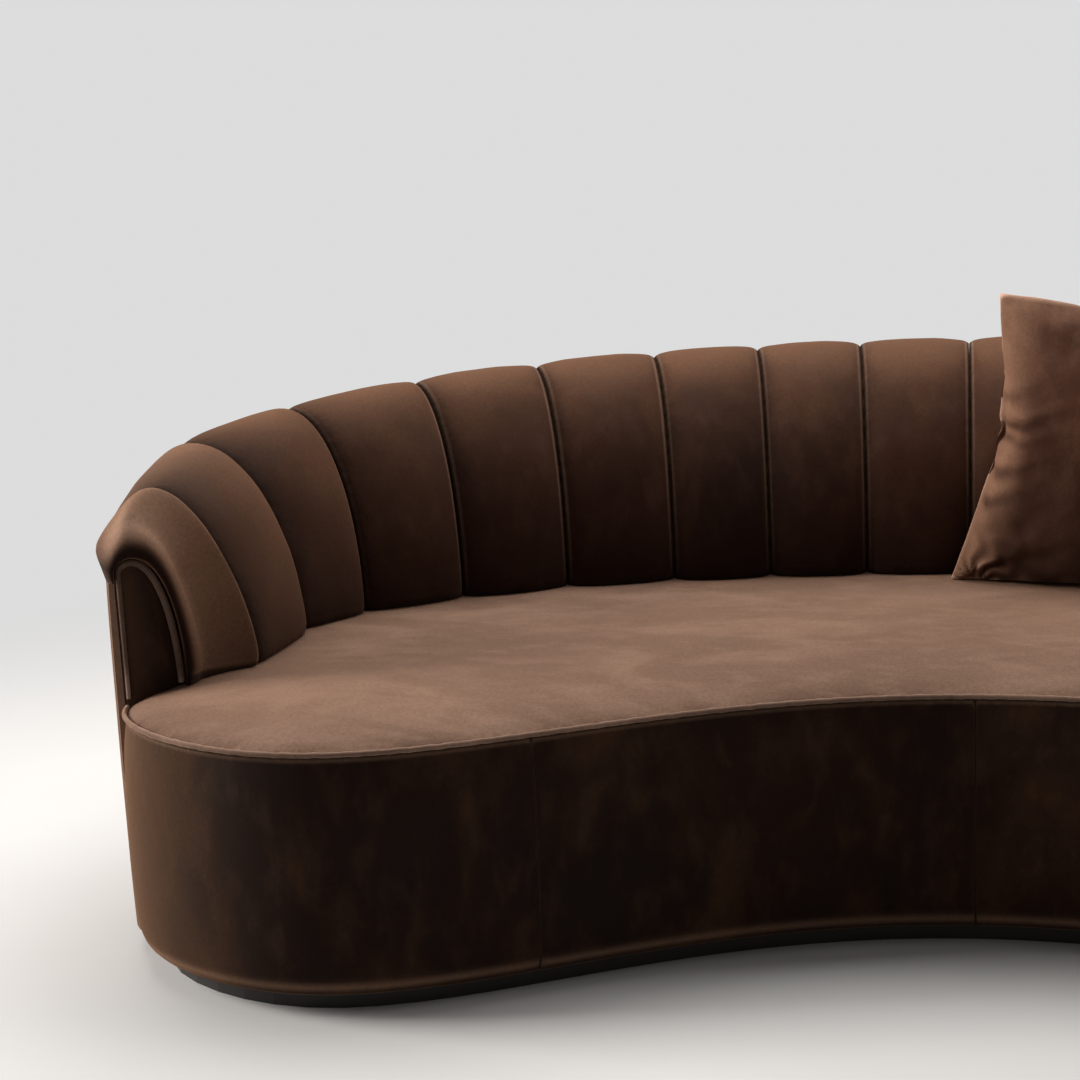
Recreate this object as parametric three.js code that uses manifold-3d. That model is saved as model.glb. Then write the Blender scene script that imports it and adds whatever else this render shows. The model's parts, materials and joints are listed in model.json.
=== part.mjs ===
// A curved, channel-backed sofa with a recessed plinth and a loose throw pillow.
// Millimetres, +Z up. The seat faces -Y, the back stands towards +Y, and X = 0 is the middle.
import * as THREE from 'three';
import Module from 'manifold-3d';

// Driving sizes of the whole sofa
const seatHeight = 415; // top of the seat's front edge above the floor
const seatCrown = 35; // how much the middle of the seat rises above its front edge
const crownSpread = 300; // how far in from the front edge that rise takes
const backHeight = 839; // top of the seams between the back's channels, at the middle
const innerReach = 150; // from the back's middle line in to the seams at the seat
const crestReach = 135; // from the back's middle line out to its crest, at the middle
const baseReach = 70; // from the back's middle line out to the foot of the outside back
const backHalfSpan = 1275; // half width of the back's middle line
const cornerDepth = 600; // how far the middle line comes forward to where the arm begins
const waistDepth = 677; // front edge at the middle, in front of the back's seam line
const bellyDepth = 1010; // front edge where it stands furthest forward
const bellyHalfSpan = 980; // half distance between the two furthest forward places

// Clearances and board thicknesses
const gap = 0.4; // between two pieces that touch
const board = 18; // plywood of rails, ribs and bearers
const skin = 6; // thin bent plywood
const seamGap = 0.6; // between two neighbouring channels

// Levels of the base, from the floor up
const plinthHeight = 32;
const dustCoverThickness = 1;
const bottomRailLow = plinthHeight + gap + dustCoverThickness + gap;
const bottomRailTop = bottomRailLow + board;
const seatRailLow = 300;
const seatRailTop = seatRailLow + board;
const webbingLow = seatRailTop + gap;
const webbingThickness = 2;
const foamLow = webbingLow + webbingThickness + gap;
const coverEdge = 10; // thickness of the seat cover at its front edge
const coverLow = seatHeight - coverEdge;
const foamTop = coverLow - gap;
const seatTop = seatHeight + seatCrown;

// Line shapes. A line runs from the middle to the left arm; the right half mirrors it.
const point2 = (x, y) => new THREE.Vector2(x, y);

function curvePath(points) {
  const path = new THREE.CurvePath();
  for (let i = 0; i + 3 < points.length; i += 3) {
    path.add(new THREE.CubicBezierCurve(points[i], points[i + 1], points[i + 2], points[i + 3]));
  }
  return path;
}

// The back's middle line, in shares of its half span and of the corner's depth
const backLineShares = [
  [0, 0], [0.55, 0], [0.976, 0.4], [1, 1],
  [1.006, 1.16], [1.015, 1.343], [0.99, 1.463],
];
const backLine = curvePath(
  backLineShares.map(([x, y]) => point2(-x * backHalfSpan, innerReach - y * cornerDepth)),
);
const backLength = backLine.getLength();

// A place on a line: share runs from -1 at the left arm to 1 at the right arm, and past them
// straight on. Across is to the outside on the back line, and inwards on the front line.
function place(path, share, across) {
  const t = Math.min(Math.abs(share), 1);
  const beyond = Math.max(Math.abs(share) - 1, 0) * path.getLength();
  const p = path.getPoint(t);
  const d = path.getTangent(t).normalize();
  const x = p.x + d.x * beyond + d.y * across;
  const y = p.y + d.y * beyond - d.x * across;
  return point2(share > 0 ? -x : x, y);
}
const onBack = (share, across) => place(backLine, share, across);

// The front edge: from the middle, round the belly, to the arm's front corner
const frontStartReach = 62; // the front edge starts this far outside the back's middle line
const frontShares = { bellyIn: 0.714, waistOut: 0.459, bellyOut: 0.503, armDown: 0.44 };
const armCorner = onBack(-1, frontStartReach);
const bellyToArm = armCorner.x + bellyHalfSpan;
const frontLine = curvePath([
  point2(0, -waistDepth),
  point2(-bellyHalfSpan * frontShares.waistOut, -waistDepth),
  point2(-bellyHalfSpan * frontShares.bellyIn, -bellyDepth),
  point2(-bellyHalfSpan, -bellyDepth),
  point2(-bellyHalfSpan + bellyToArm * frontShares.bellyOut, -bellyDepth),
  point2(armCorner.x, armCorner.y - (bellyDepth + armCorner.y) * frontShares.armDown),
  armCorner,
]);
const frontLength = frontLine.getLength();
const onFront = (share, inwards) => place(frontLine, share, inwards);

// The crown of the seat: its height over a place, from the distance to the front edge
const crownPower = 2.5;
const edgeSteps = 160;
const edgePoints = [];
for (let i = 0; i <= edgeSteps; i++) {
  edgePoints.push(onFront((2 * i) / edgeSteps - 1, 0));
}

function distanceToEdge(p) {
  let nearest = Infinity;
  for (let i = 0; i < edgeSteps; i++) {
    const a = edgePoints[i];
    const run = edgePoints[i + 1].clone().sub(a);
    const share = THREE.MathUtils.clamp(p.clone().sub(a).dot(run) / run.lengthSq(), 0, 1);
    nearest = Math.min(nearest, a.clone().addScaledVector(run, share).distanceTo(p));
  }
  return nearest;
}

function seatTopAt(p) {
  const share = Math.min(distanceToEdge(p) / crownSpread, 1);
  return seatHeight + seatCrown * (1 - (1 - share) ** crownPower);
}

// Solids from rings: each ring is a closed loop of points, and the caps are cut from the ring's
// own flat outline
function loft(rings, outline) {
  const count = rings[0].length;
  const positions = rings.flat().flatMap((p) => [p.x, p.y, p.z]);
  const faces = [];
  for (let r = 0; r + 1 < rings.length; r++) {
    for (let i = 0; i < count; i++) {
      const j = (i + 1) % count;
      const [a, b, c, d] = [r * count + i, r * count + j, (r + 1) * count + j, (r + 1) * count + i];
      faces.push(a, b, c, a, c, d);
    }
  }
  const last = (rings.length - 1) * count;
  const caps = THREE.ShapeUtils.triangulateShape(outline, []);
  const areaOf = (face) => THREE.ShapeUtils.area(face.map((i) => outline[i]));
  const capArea = caps.reduce((sum, face) => sum + areaOf(face), 0);
  const turn = capArea * THREE.ShapeUtils.area(outline) < 0;
  for (const face of caps) {
    const [a, b, c] = turn ? face.toReversed() : face;
    faces.push(c, b, a, last + a, last + b, last + c);
  }
  return facingOut(positions, faces);
}

// A closed geometry whose faces point out
function facingOut(positions, faces) {
  const at = (i) => new THREE.Vector3().fromArray(positions, 3 * i);
  let volume = 0;
  for (let i = 0; i < faces.length; i += 3) {
    volume += at(faces[i]).dot(at(faces[i + 1]).cross(at(faces[i + 2])));
  }
  const ordered = volume < 0 ? faces.toReversed() : faces;
  const geometry = new THREE.BufferGeometry();
  geometry.setAttribute('position', new THREE.Float32BufferAttribute(positions, 3));
  geometry.setIndex(ordered);
  return geometry;
}

// A section, as [across, height] corners, drawn along a line from share to share
function sweep(on, shares, sectionAt) {
  const rings = [];
  for (const share of shares) {
    const section = sectionAt(share);
    rings.push(section.map(([across, z]) => {
      const p = on(share, across);
      const height = typeof z === 'function' ? z(p) : z;
      return new THREE.Vector3(p.x, p.y, height);
    }));
  }
  const outline = sectionAt(shares[0]).map(([across], i) => point2(across, rings[0][i].z));
  return loft(rings, outline);
}

const steps = (from, to, count) => Array.from(
  { length: count + 1 }, (_, i) => from + ((to - from) * i) / count,
);
const box = (near, far, low, high) => [[near, low], [far, low], [far, high], [near, high]];
const halves = [[-1, 'left'], [1, 'right']];

// Stations: pieces that lie against each other bend at the same places along their line
const mirrored = (half) => [...half.slice(1).reverse().map((share) => -share), ...half];
const between = (stations, from, to) => [
  from, ...stations.filter((share) => share > from && share < to), to,
];
const frontSteps = 24;
const frontEndShare = 0.995; // the front's pieces stop just before the arm's corner
const frontHalf = steps(0, 1, frontSteps).map((share) => Math.min(share, frontEndShare));
const frontStations = mirrored(frontHalf);

const seamShares = [0, 0.108, 0.21, 0.313, 0.43, 0.55, 0.68, 0.812, 0.965];
const lastSeam = seamShares[seamShares.length - 1];
const acrossShares = [0, 0.12, 0.5, 0.88, 1]; // where a channel's width is divided
const noseShares = [0.25, 0.55]; // the same on the last one, up to the arm's front
const facingPanel = 14; // thickness of the arm's front panel
const panelBack = 1 - facingPanel / backLength;
const backHalf = [
  ...seamShares.slice(1).flatMap((to, i) => (
    acrossShares.slice(0, -1).map((x) => THREE.MathUtils.lerp(seamShares[i], to, x))
  )),
  lastSeam,
  ...noseShares.map((x) => THREE.MathUtils.lerp(lastSeam, 1, x)),
  panelBack,
  1,
];
const backStations = mirrored(backHalf);
const seamSlit = seamGap / 2 / frontLength;
const backSlit = seamGap / 2 / backLength;

// Parts list
const sofa = new THREE.Group();
sofa.name = 'curved_sofa';
const finishes = {
  velvet: { color: 0x4a2c1c, roughness: 0.9, metalness: 0 },
  pillowVelvet: { color: 0x5a3424, roughness: 0.9, metalness: 0 },
  plywood: { color: 0xb98f5f, roughness: 0.7, metalness: 0 },
  plinthBlack: { color: 0x0d0c0b, roughness: 0.6, metalness: 0 },
  foam: { color: 0xd9cfae, roughness: 0.95, metalness: 0 },
  webbing: { color: 0x3b3a36, roughness: 0.9, metalness: 0 },
  dustCloth: { color: 0x141414, roughness: 1, metalness: 0 },
};

function add(name, geometry, finish) {
  const mesh = new THREE.Mesh(geometry, new THREE.MeshStandardMaterial(finishes[finish]));
  mesh.name = name;
  sofa.add(mesh);
  return mesh;
}

// The back's shape across the line: a skin, and a lining that the frame fits inside
const armDropShare = 0.272; // how much of the back's rise is lost on the way to the arm
const armDropPower = 1.58;
const lipDrop = 20; // the arm's front falls this much more
const armCrestReach = -8; // the crest's reach beside the arms
const crestPower = 1.8;
const noseCrestReach = 40; // and at the arm's front
const rollWidth = 42; // from the crest out to the roll's furthest place, at the middle
const armRollWidth = 88;
const rollPower = 2;
const rollFall = 60; // from the crest down to the roll's furthest place, at the middle
const armRollFall = 85;
const noseRollFall = 68;
const fallPower = 3;
const rollUndercut = 12; // the roll's end lies this much inside its furthest place
const noseUndercut = 2;
const tuck = 22; // from the roll's furthest place down to its end
const noseTuck = 34;
const noseReach = 46; // inner reach of the skin at the arm's front
const padding = 40; // between skin and lining
const nosePadding = 13;
const lipPadding = 68; // the same over the arm's front panel
const riseShares = { stem: 0.52, lean: 0.64, over: 0.58, fall: 0.5 };

// How far along the last channel a place is, from 0 at its seam to 1 at the arm's front
const noseShare = (share) => THREE.MathUtils.clamp(
  (Math.abs(share) - lastSeam) / (1 - lastSeam), 0, 1,
);
const towardsNose = (share, usual, nose) => THREE.MathUtils.lerp(usual, nose, noseShare(share));
const towardsArm = (share, power, middle, arm) => (
  THREE.MathUtils.lerp(middle, arm, Math.min(Math.abs(share), 1) ** power)
);

function crestHeight(share) {
  const rise = backHeight - seatTop;
  const drop = rise * armDropShare * Math.min(Math.abs(share), 1) ** armDropPower;
  return backHeight - drop - lipDrop * noseShare(share) ** 2;
}

const cubic = (t, a, b, c, d) => (
  a * (1 - t) ** 3 + 3 * b * t * (1 - t) ** 2 + 3 * c * t ** 2 * (1 - t) + d * t ** 3
);

// One profile line of the back, as [across, height] points from the seat up and over the roll
const frontTimes = [0, 0.2, 0.4, 0.6, 0.8, 1];
const rearTimes = [0.5, 1];
function profile(line, foot) {
  const { inner, crest, top, outer, low, endReach, end } = line;
  const rise = top - foot;
  const lean = crest - riseShares.lean * (crest + inner);
  const up = frontTimes.map((t) => [
    cubic(t, -inner, -inner, lean, crest),
    cubic(t, foot, foot + riseShares.stem * rise, top, top),
  ]);
  const over = crest + riseShares.over * (outer - crest);
  const turnHeight = top - (top - low) * riseShares.fall;
  const down = rearTimes.map((t) => [
    cubic(t, crest, over, outer, outer),
    cubic(t, top, top, turnHeight, low),
  ]);
  return [...up, ...down, [endReach, end]];
}

function skinLine(share) {
  const top = crestHeight(share);
  const crest = towardsArm(share, crestPower, crestReach, armCrestReach);
  const outer = crest + towardsArm(share, rollPower, rollWidth, armRollWidth);
  const fall = towardsArm(share, fallPower, rollFall, armRollFall);
  const low = top - towardsNose(share, fall, noseRollFall);
  return {
    inner: towardsNose(share, innerReach, noseReach),
    crest: towardsNose(share, crest, noseCrestReach),
    top,
    outer,
    low,
    endReach: outer - towardsNose(share, rollUndercut, noseUndercut),
    end: low - towardsNose(share, tuck, noseTuck),
  };
}

// The lining's line, drawn in by a further clearance
const outsideBack = 12; // thickness of the outside back's padded panels
const liningShoulder = 10; // least fall of the lining behind its crest
function liningLine(share, clear) {
  const line = skinLine(share);
  const top = line.top - towardsNose(share, padding, lipPadding) - clear;
  const wall = line.endReach - outsideBack - gap - clear;
  return {
    inner: line.inner - towardsNose(share, padding, nosePadding) - clear,
    crest: line.crest,
    top,
    outer: wall,
    low: Math.min(line.end + outsideBack, top - liningShoulder),
    endReach: wall,
    end: line.end,
  };
}

// The outside back's outer face, from its top edge down to the floor's shadow gap
const baseLow = 33; // lower edge of the upholstery above the floor
const outerFaceAt = (share, z) => {
  const line = skinLine(share);
  const up = (z - baseLow) / (line.end - gap - baseLow);
  return THREE.MathUtils.lerp(baseReach, line.endReach, up);
};
const outerWallAt = (share, z) => outerFaceAt(share, z) - outsideBack - gap;

// Recessed plinth: two bands on edge that carry the base, and two feet under its middle
const plinthSetback = 50;
add('plinth_front', sweep(onFront, frontStations, () => (
  box(plinthSetback, plinthSetback + board, 0, plinthHeight)
)), 'plinthBlack');
add('plinth_back', sweep(onBack, backStations, () => (
  box(baseReach - plinthSetback - board, baseReach - plinthSetback, 0, plinthHeight)
)), 'plinthBlack');

const footSide = 70;
const footSpacing = 840;
const footDepth = 400; // in front of the back's seam line
for (const [side, name] of [[-1, 'left'], [1, 'right']]) {
  const block = new THREE.BoxGeometry(footSide, footSide, plinthHeight);
  const mesh = add(`middle_foot_${name}`, block, 'plinthBlack');
  mesh.position.set((side * footSpacing) / 2, -footDepth, plinthHeight / 2);
}

// Dust cover: a cloth over the whole underside, between plinth and frame
const border = 26; // thickness of the padded front border
const facing = border + gap; // where the thin front board starts
const frameFront = facing + skin + gap; // where rails start behind it
const rearWall = baseReach - outsideBack - gap; // where rails end in front of the outside back
const clothCorner = 24; // at the arms the cloth steps in to this reach, clear of the border's end
const clothOutline = [
  ...frontStations.slice(1, -1).map((share) => onFront(share, frameFront)),
  onBack(1, clothCorner),
  ...backStations.slice(1, -1).reverse().map((share) => onBack(share, rearWall)),
  onBack(-1, clothCorner),
];
function slab(outline, low, high) {
  const ring = (z) => outline.map((p) => new THREE.Vector3(p.x, p.y, z));
  return loft([ring(low), ring(high)], outline);
}
const clothLow = plinthHeight + gap;
add('dust_cover', slab(clothOutline, clothLow, clothLow + dustCoverThickness), 'dustCloth');

// Rails: curved plywood plates at the bottom and under the seat
const railWidth = 80;
const backRailWidth = 90;
const seatBackRailReach = 145; // the seat's back rail also carries the ribs, so it is wider
add('bottom_rail_front', sweep(onFront, frontStations, () => (
  box(frameFront, frameFront + railWidth, bottomRailLow, bottomRailTop)
)), 'plywood');
add('bottom_rail_back', sweep(onBack, backStations, () => (
  box(rearWall - backRailWidth, rearWall, bottomRailLow, bottomRailTop)
)), 'plywood');
add('seat_rail_front', sweep(onFront, frontStations, () => (
  box(frameFront, frameFront + railWidth, seatRailLow, seatRailTop)
)), 'plywood');
add('seat_rail_back', sweep(onBack, backStations, () => (
  box(-seatBackRailReach, rearWall, seatRailLow, seatRailTop)
)), 'plywood');

// Front boards: thin plywood bent round the front of the rails, behind the padded border
const sided = (side, stations) => stations.map((share) => side * share);
for (const [side, name] of halves) {
  const stations = sided(side, between(frontHalf, seamSlit, frontEndShare));
  add(`front_board_${name}`, sweep(onFront, stations, () => (
    box(facing, facing + skin, bottomRailLow, seatRailTop)
  )), 'plywood');
}

// Bearers: upright boards from the front rails to the back rails, notched over the bottom ones
const bearerShares = [
  [-0.6, -0.6, 'outer_left'], [-0.2, -0.17, 'inner_left'],
  [0.2, 0.17, 'inner_right'], [0.6, 0.6, 'outer_right'],
];
const bearerClear = 8; // its square ends stop short of the bent boards by this much
for (const [frontShare, backShare, name] of bearerShares) {
  const a = onFront(frontShare, frameFront + bearerClear);
  const b = onBack(backShare, rearWall - bearerClear);
  const run = b.clone().sub(a);
  const length = run.length();
  const side = point2(-run.y, run.x).setLength(board / 2);
  const frontNotch = railWidth + board;
  const backNotch = length - backRailWidth - board;
  const low = bottomRailLow;
  const high = bottomRailTop + gap;
  const outline = [
    [0, high], [frontNotch, high], [frontNotch, low], [backNotch, low],
    [backNotch, high], [length, high], [length, seatRailLow - gap], [0, seatRailLow - gap],
  ].map(([along, z]) => point2(along, z));
  const ring = (way) => outline.map((p) => {
    const q = a.clone().addScaledVector(run, p.x / length).addScaledVector(side, way);
    return new THREE.Vector3(q.x, q.y, p.y);
  });
  add(`seat_bearer_${name}`, loft([ring(-1), ring(1)], outline), 'plywood');
}

// Seat webbing: straps from front to back, joined by two that run the sofa's length
const wasm = await Module();
wasm.setup();
function solidOf(geometry) {
  const mesh = new wasm.Mesh({
    numProp: 3,
    vertProperties: new Float32Array(geometry.attributes.position.array),
    triVerts: new Uint32Array(geometry.index.array),
  });
  return new wasm.Manifold(mesh);
}
function geometryOf(solid) {
  const { vertProperties, triVerts } = solid.getMesh();
  const geometry = new THREE.BufferGeometry();
  geometry.setAttribute('position', new THREE.BufferAttribute(vertProperties, 3));
  geometry.setIndex(new THREE.BufferAttribute(triVerts, 1));
  return geometry;
}

const strapWidth = 50;
const strapCount = 9;
const strapEndShare = 0.76; // of the back line, for the straps beside the arms
const strapFanShare = 0.92; // a strap's place on the front line over that on the back line
const strapOnRail = 55; // how far a strap's end lies in from the front line
const strapClear = 25; // between a strap's end and the back board
const liningFoot = (share, clear) => -liningLine(share, clear).inner;
const crossStrapShares = [0.36, 0.68]; // of the way from front to back
const webbingTop = webbingLow + webbingThickness;
const strapStart = (share) => onFront(share * strapFanShare, strapOnRail);
const strapEnd = (share) => onBack(share, liningFoot(share, 0) - strapClear);
let webbing = null;
const addStrap = (geometry) => {
  const solid = solidOf(geometry);
  webbing = webbing ? webbing.add(solid) : solid;
};
for (const share of steps(-strapEndShare, strapEndShare, strapCount - 1)) {
  const a = strapStart(share);
  const b = strapEnd(share);
  const side = point2(a.y - b.y, b.x - a.x).setLength(strapWidth / 2);
  const corners = [
    a.clone().add(side), b.clone().add(side), b.clone().sub(side), a.clone().sub(side),
  ];
  addStrap(slab(corners, webbingLow, webbingTop));
}
for (const depth of crossStrapShares) {
  const line = steps(-strapEndShare, strapEndShare, 2 * (strapCount - 1)).map((share) => (
    strapStart(share).lerp(strapEnd(share), depth)
  ));
  const edge = (way) => line.map((p, i) => {
    const before = line[Math.max(i - 1, 0)];
    const after = line[Math.min(i + 1, line.length - 1)];
    const side = point2(before.y - after.y, after.x - before.x).setLength(strapWidth / 2);
    return p.clone().addScaledVector(side, way);
  });
  addStrap(slab([...edge(-1), ...edge(1).reverse()], webbingLow, webbingTop));
}
add('seat_webbing', geometryOf(webbing), 'webbing');

// The seat's plan: each front station is paired with a place on the seat's back edge
const seatClear = 2; // between the seat's soft pieces and the back boards
const armInner = noseReach - nosePadding; // the arm front's inner edge
const armSeatShares = [0.7, 0.1]; // along the arm front, of its outer reach
const armSeatReaches = [
  ...armSeatShares.map((share) => share * frontStartReach), -armInner - seatClear,
];
const armSeatShare = 1 + (2 * gap) / backLength;
const cornerBackShare = 0.993; // the seat's first back place beside the arm front
const seatBackShares = frontHalf.slice(0, -armSeatReaches.length - 1).map((share, i, all) => (
  (lastSeam * share) / all[all.length - 1]
));
seatBackShares.push(cornerBackShare);
const seatBackHalf = [
  ...seatBackShares.map((share) => ({
    back: share, reach: liningFoot(share, 0) - seatClear,
  })),
  ...armSeatReaches.toReversed().map((reach) => ({ back: armSeatShare, reach })),
];
const seatBackPoint = (i) => {
  const { back, reach } = seatBackHalf[Math.abs(i)];
  return onBack(Math.sign(i) * back, reach);
};
const seatPlaces = steps(-frontSteps, frontSteps, 2 * frontSteps);
const frontShareOf = (i) => frontStations[i + frontSteps];

// Seat foam: a flat slab on the webbing, behind the front boards
const foamFront = facing + gap;
const foamPlaces = seatPlaces.slice(1, -1);
const foamOutline = [
  ...foamPlaces.map((i) => onFront(frontShareOf(i), foamFront)),
  ...foamPlaces.toReversed().map(seatBackPoint),
];
add('seat_foam', slab(foamOutline, foamLow, foamTop), 'foam');

// Seat cushion: a crowned cover and topper, drawn in at its front edge
const coverInset = 9;
const edgeInset = 2; // the edge is drawn in this much more at its foot
const rimWidth = 5;
const crownRowShares = [0.05, 0.13, 0.26, 0.45, 0.7, 1];
const cushionRings = seatPlaces.map((i) => {
  const front = (inwards, z) => {
    const p = onFront(frontShareOf(i), inwards);
    return new THREE.Vector3(p.x, p.y, z ?? seatTopAt(p));
  };
  const rim = onFront(frontShareOf(i), coverInset + rimWidth);
  const back = seatBackPoint(i);
  const rows = crownRowShares.map((share) => {
    const p = rim.clone().lerp(back, share);
    return new THREE.Vector3(p.x, p.y, seatTopAt(p));
  });
  return [
    front(coverInset + edgeInset, coverLow),
    front(coverInset, coverLow + coverEdge / 2),
    front(coverInset + rimWidth),
    ...rows,
    new THREE.Vector3(back.x, back.y, coverLow),
  ];
});
const cushionOutline = cushionRings[0].map((p, i) => point2(
  i === cushionRings[0].length - 1 ? rimWidth * i : rimWidth * (i + 1), p.z,
));
add('seat_cushion', loft(cushionRings, cushionOutline), 'velvet');

// Border panels: padded velvet round the front, with upright seams between four panels
const borderSeamShare = 11 / frontSteps;
const borderBulge = 4;
const borderTop = coverLow - gap;
const borderSideShares = [
  [0.8, 0], [0.42, 0.025], [0.16, 0.07], [0, 0.15], [-1, 0.36], [-1, 0.66], [0, 0.9], [0.3, 1],
]; // of the border's thickness, or of its bulge where negative, and of its height
const borderHeight = borderTop - baseLow;
const borderSection = () => [
  [border, baseLow],
  ...borderSideShares.map(([out, up]) => [
    out < 0 ? out * borderBulge : out * border, baseLow + up * borderHeight,
  ]),
  [border, borderTop],
];
const borderPanels = [
  [-frontEndShare, -borderSeamShare - seamSlit, 'border_left'],
  [-borderSeamShare + seamSlit, -seamSlit, 'border_middle_left'],
  [seamSlit, borderSeamShare - seamSlit, 'border_middle_right'],
  [borderSeamShare + seamSlit, frontEndShare, 'border_right'],
];
for (const [from, to, name] of borderPanels) {
  add(name, sweep(onFront, between(frontStations, from, to), borderSection), 'velvet');
}

// Piping: a velvet-covered cord along the seat's front edge
const pipingRadius = 4.2;
const pipingInset = coverInset - gap - pipingRadius;
const pipingHeight = borderTop + gap + pipingRadius;
const pipingSides = 8;
const cordSection = (across, z, radius, sides) => Array.from({ length: sides }, (_, i) => {
  const turn = (2 * Math.PI * i) / sides;
  return [across + radius * Math.cos(turn), z + radius * Math.sin(turn)];
});
add('seat_piping', sweep(onFront, frontStations, () => (
  cordSection(pipingInset, pipingHeight, pipingRadius, pipingSides)
)), 'velvet');

// Back boards: thin plywood bent to the lining, from the seat's rail up the lean of the back
const boardRows = [0, 1, 2, 3];
const boardEnd = panelBack - gap / backLength;
const boardHalf = between(backHalf, backSlit, boardEnd);
const boardSection = (share) => {
  const near = profile(liningLine(share, gap), webbingLow);
  const far = profile(liningLine(share, gap + skin), webbingLow);
  return [...boardRows.map((i) => near[i]), ...boardRows.map((i) => far[i]).reverse()];
};
for (const [side, name] of halves) {
  add(`back_board_${name}`, sweep(onBack, sided(side, boardHalf), boardSection), 'plywood');
}

// Top rails: plywood inside the roll
const railSpan = 70; // width of the rail
const noseRailSpan = 24;
const railInset = 24; // from the lining's furthest place in to the rail
const noseRailInset = 14;
const railBelow = 18; // from the lining's crest down to the rail's top
const topRailTop = (share) => liningLine(share, gap).top - railBelow;
const topRailOuter = (share) => (
  liningLine(share, gap).outer - towardsNose(share, railInset, noseRailInset)
);
const topRailInner = (share) => (
  topRailOuter(share) - towardsNose(share, railSpan, noseRailSpan)
);
for (const [side, name] of halves) {
  add(`top_rail_${name}`, sweep(onBack, sided(side, boardHalf), (share) => (
    box(topRailInner(share), topRailOuter(share), topRailTop(share) - board, topRailTop(share))
  )), 'plywood');
}

// Ribs: upright plywood between the back boards, the outside back, and the two rails
const ribRows = [0, 1, 2, 3];
const ribSeams = [1, 4, 7]; // a rib stands behind the middle of the channel after each
const ribClear = 1.6; // a flat rib stays this clear of the bent boards on either side
const halfRib = board / 2 / backLength;
const ribSection = (share) => {
  const inside = profile(liningLine(share, gap + skin + ribClear), webbingLow);
  const rail = Math.min(topRailTop(share - halfRib), topRailTop(share + halfRib));
  const high = rail - board - gap;
  const wallTop = Math.min(high, skinLine(share).end) - ribClear;
  return [
    ...ribRows.map((i) => [inside[i][0], Math.min(inside[i][1], high)]),
    [topRailInner(share), high],
    [topRailOuter(share), high],
    [outerWallAt(share, wallTop) - ribClear, wallTop],
    [outerWallAt(share, webbingLow) - ribClear, webbingLow],
  ];
};
for (const [side, name] of halves) {
  ribSeams.forEach((seam, i) => {
    const share = (seamShares[seam] + seamShares[seam + 1]) / 2;
    const section = ribSection(share);
    const stations = [side * (share - halfRib), side * (share + halfRib)];
    add(`back_rib_${name}_${i + 1}`, sweep(onBack, stations, () => section), 'plywood');
  });
}

// Outside back: padded panels from under the roll down to the shadow gap
const outsideEndShare = 1;
const sideSeamShare = seamShares[6]; // the outside back's seams stand behind this channel seam
const hem = 10; // the lower edge rounds in by this much
const outsideSection = (share) => {
  const end = skinLine(share).end - gap;
  const middle = (end + baseLow) / 2;
  return [
    [outerFaceAt(share, baseLow) - hem, baseLow],
    [outerFaceAt(share, baseLow + hem), baseLow + hem],
    [outerFaceAt(share, middle), middle],
    [outerFaceAt(share, end), end],
    [outerFaceAt(share, end) - outsideBack, end],
    [outerFaceAt(share, middle) - outsideBack, middle],
    [outerFaceAt(share, baseLow) - outsideBack, baseLow],
  ];
};
const outsidePanels = [
  [-outsideEndShare, -sideSeamShare - backSlit, 'outside_back_left'],
  [-sideSeamShare + backSlit, sideSeamShare - backSlit, 'outside_back_middle'],
  [sideSeamShare + backSlit, outsideEndShare, 'outside_back_right'],
];
for (const [from, to, name] of outsidePanels) {
  add(name, sweep(onBack, between(backStations, from, to), outsideSection), 'velvet');
}

// Arm fronts: a flat panel under the roll, with piping round its edge
const panelClear = 0.6; // between the panel's edge and the channel over it
const panelSection = (share) => [
  ...profile(liningLine(share, panelClear), webbingLow).slice(0, -1),
  [outerWallAt(share, webbingLow), webbingLow],
];
for (const [side, name] of halves) {
  const stations = [side * panelBack, side];
  add(`arm_front_${name}`, sweep(onBack, stations, panelSection), 'velvet');
}

const armPipingRadius = 5.5;
const pipingMargin = armPipingRadius + panelClear; // inside the panel's edge
const armPipingSides = 6;
const armPipingRoute = [
  ...profile(liningLine(1, pipingMargin), seatHeight).slice(0, -1),
  [outerWallAt(1, seatTop) - pipingMargin, seatTop],
];
const armPipingShare = 1 + (armPipingRadius + gap) / backLength;
for (const [side, name] of halves) {
  const onFoot = (p) => seatTopAt(p) + gap + armPipingRadius;
  const route = armPipingRoute.map(([across, z], i) => {
    const p = onBack(side * armPipingShare, across);
    const isFoot = i % (armPipingRoute.length - 1) === 0;
    return new THREE.Vector3(p.x, p.y, isFoot ? onFoot(p) : z);
  });
  const ahead = onBack(side * armPipingShare, 0).sub(onBack(side, 0)).normalize();
  const forward = new THREE.Vector3(ahead.x, ahead.y, 0);
  const rings = route.map((p, i) => {
    const before = route[Math.max(i - 1, 0)];
    const after = route[Math.min(i + 1, route.length - 1)];
    const run = after.clone().sub(before).normalize();
    const over = new THREE.Vector3().crossVectors(run, forward).normalize();
    return Array.from({ length: armPipingSides }, (_, k) => {
      const turn = (2 * Math.PI * k) / armPipingSides;
      return p.clone()
        .addScaledVector(forward, armPipingRadius * Math.cos(turn))
        .addScaledVector(over, armPipingRadius * Math.sin(turn));
    });
  });
  const circle = cordSection(0, 0, armPipingRadius, armPipingSides).map(([x, y]) => point2(x, y));
  add(`arm_piping_${name}`, loft(rings, circle), 'velvet');
}

// Channels: padded velvet tubes up the back and over the roll, swelling between their seams
const channelSwell = 20;
const swellPower = 3;
const swellRowShares = [1, 1, 1, 0.95, 0.75, 0.45, 0.35, 0.25, 0.1]; // of the swell, up the profile
const standClear = 2 * gap; // between a channel's foot and the seat

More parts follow.
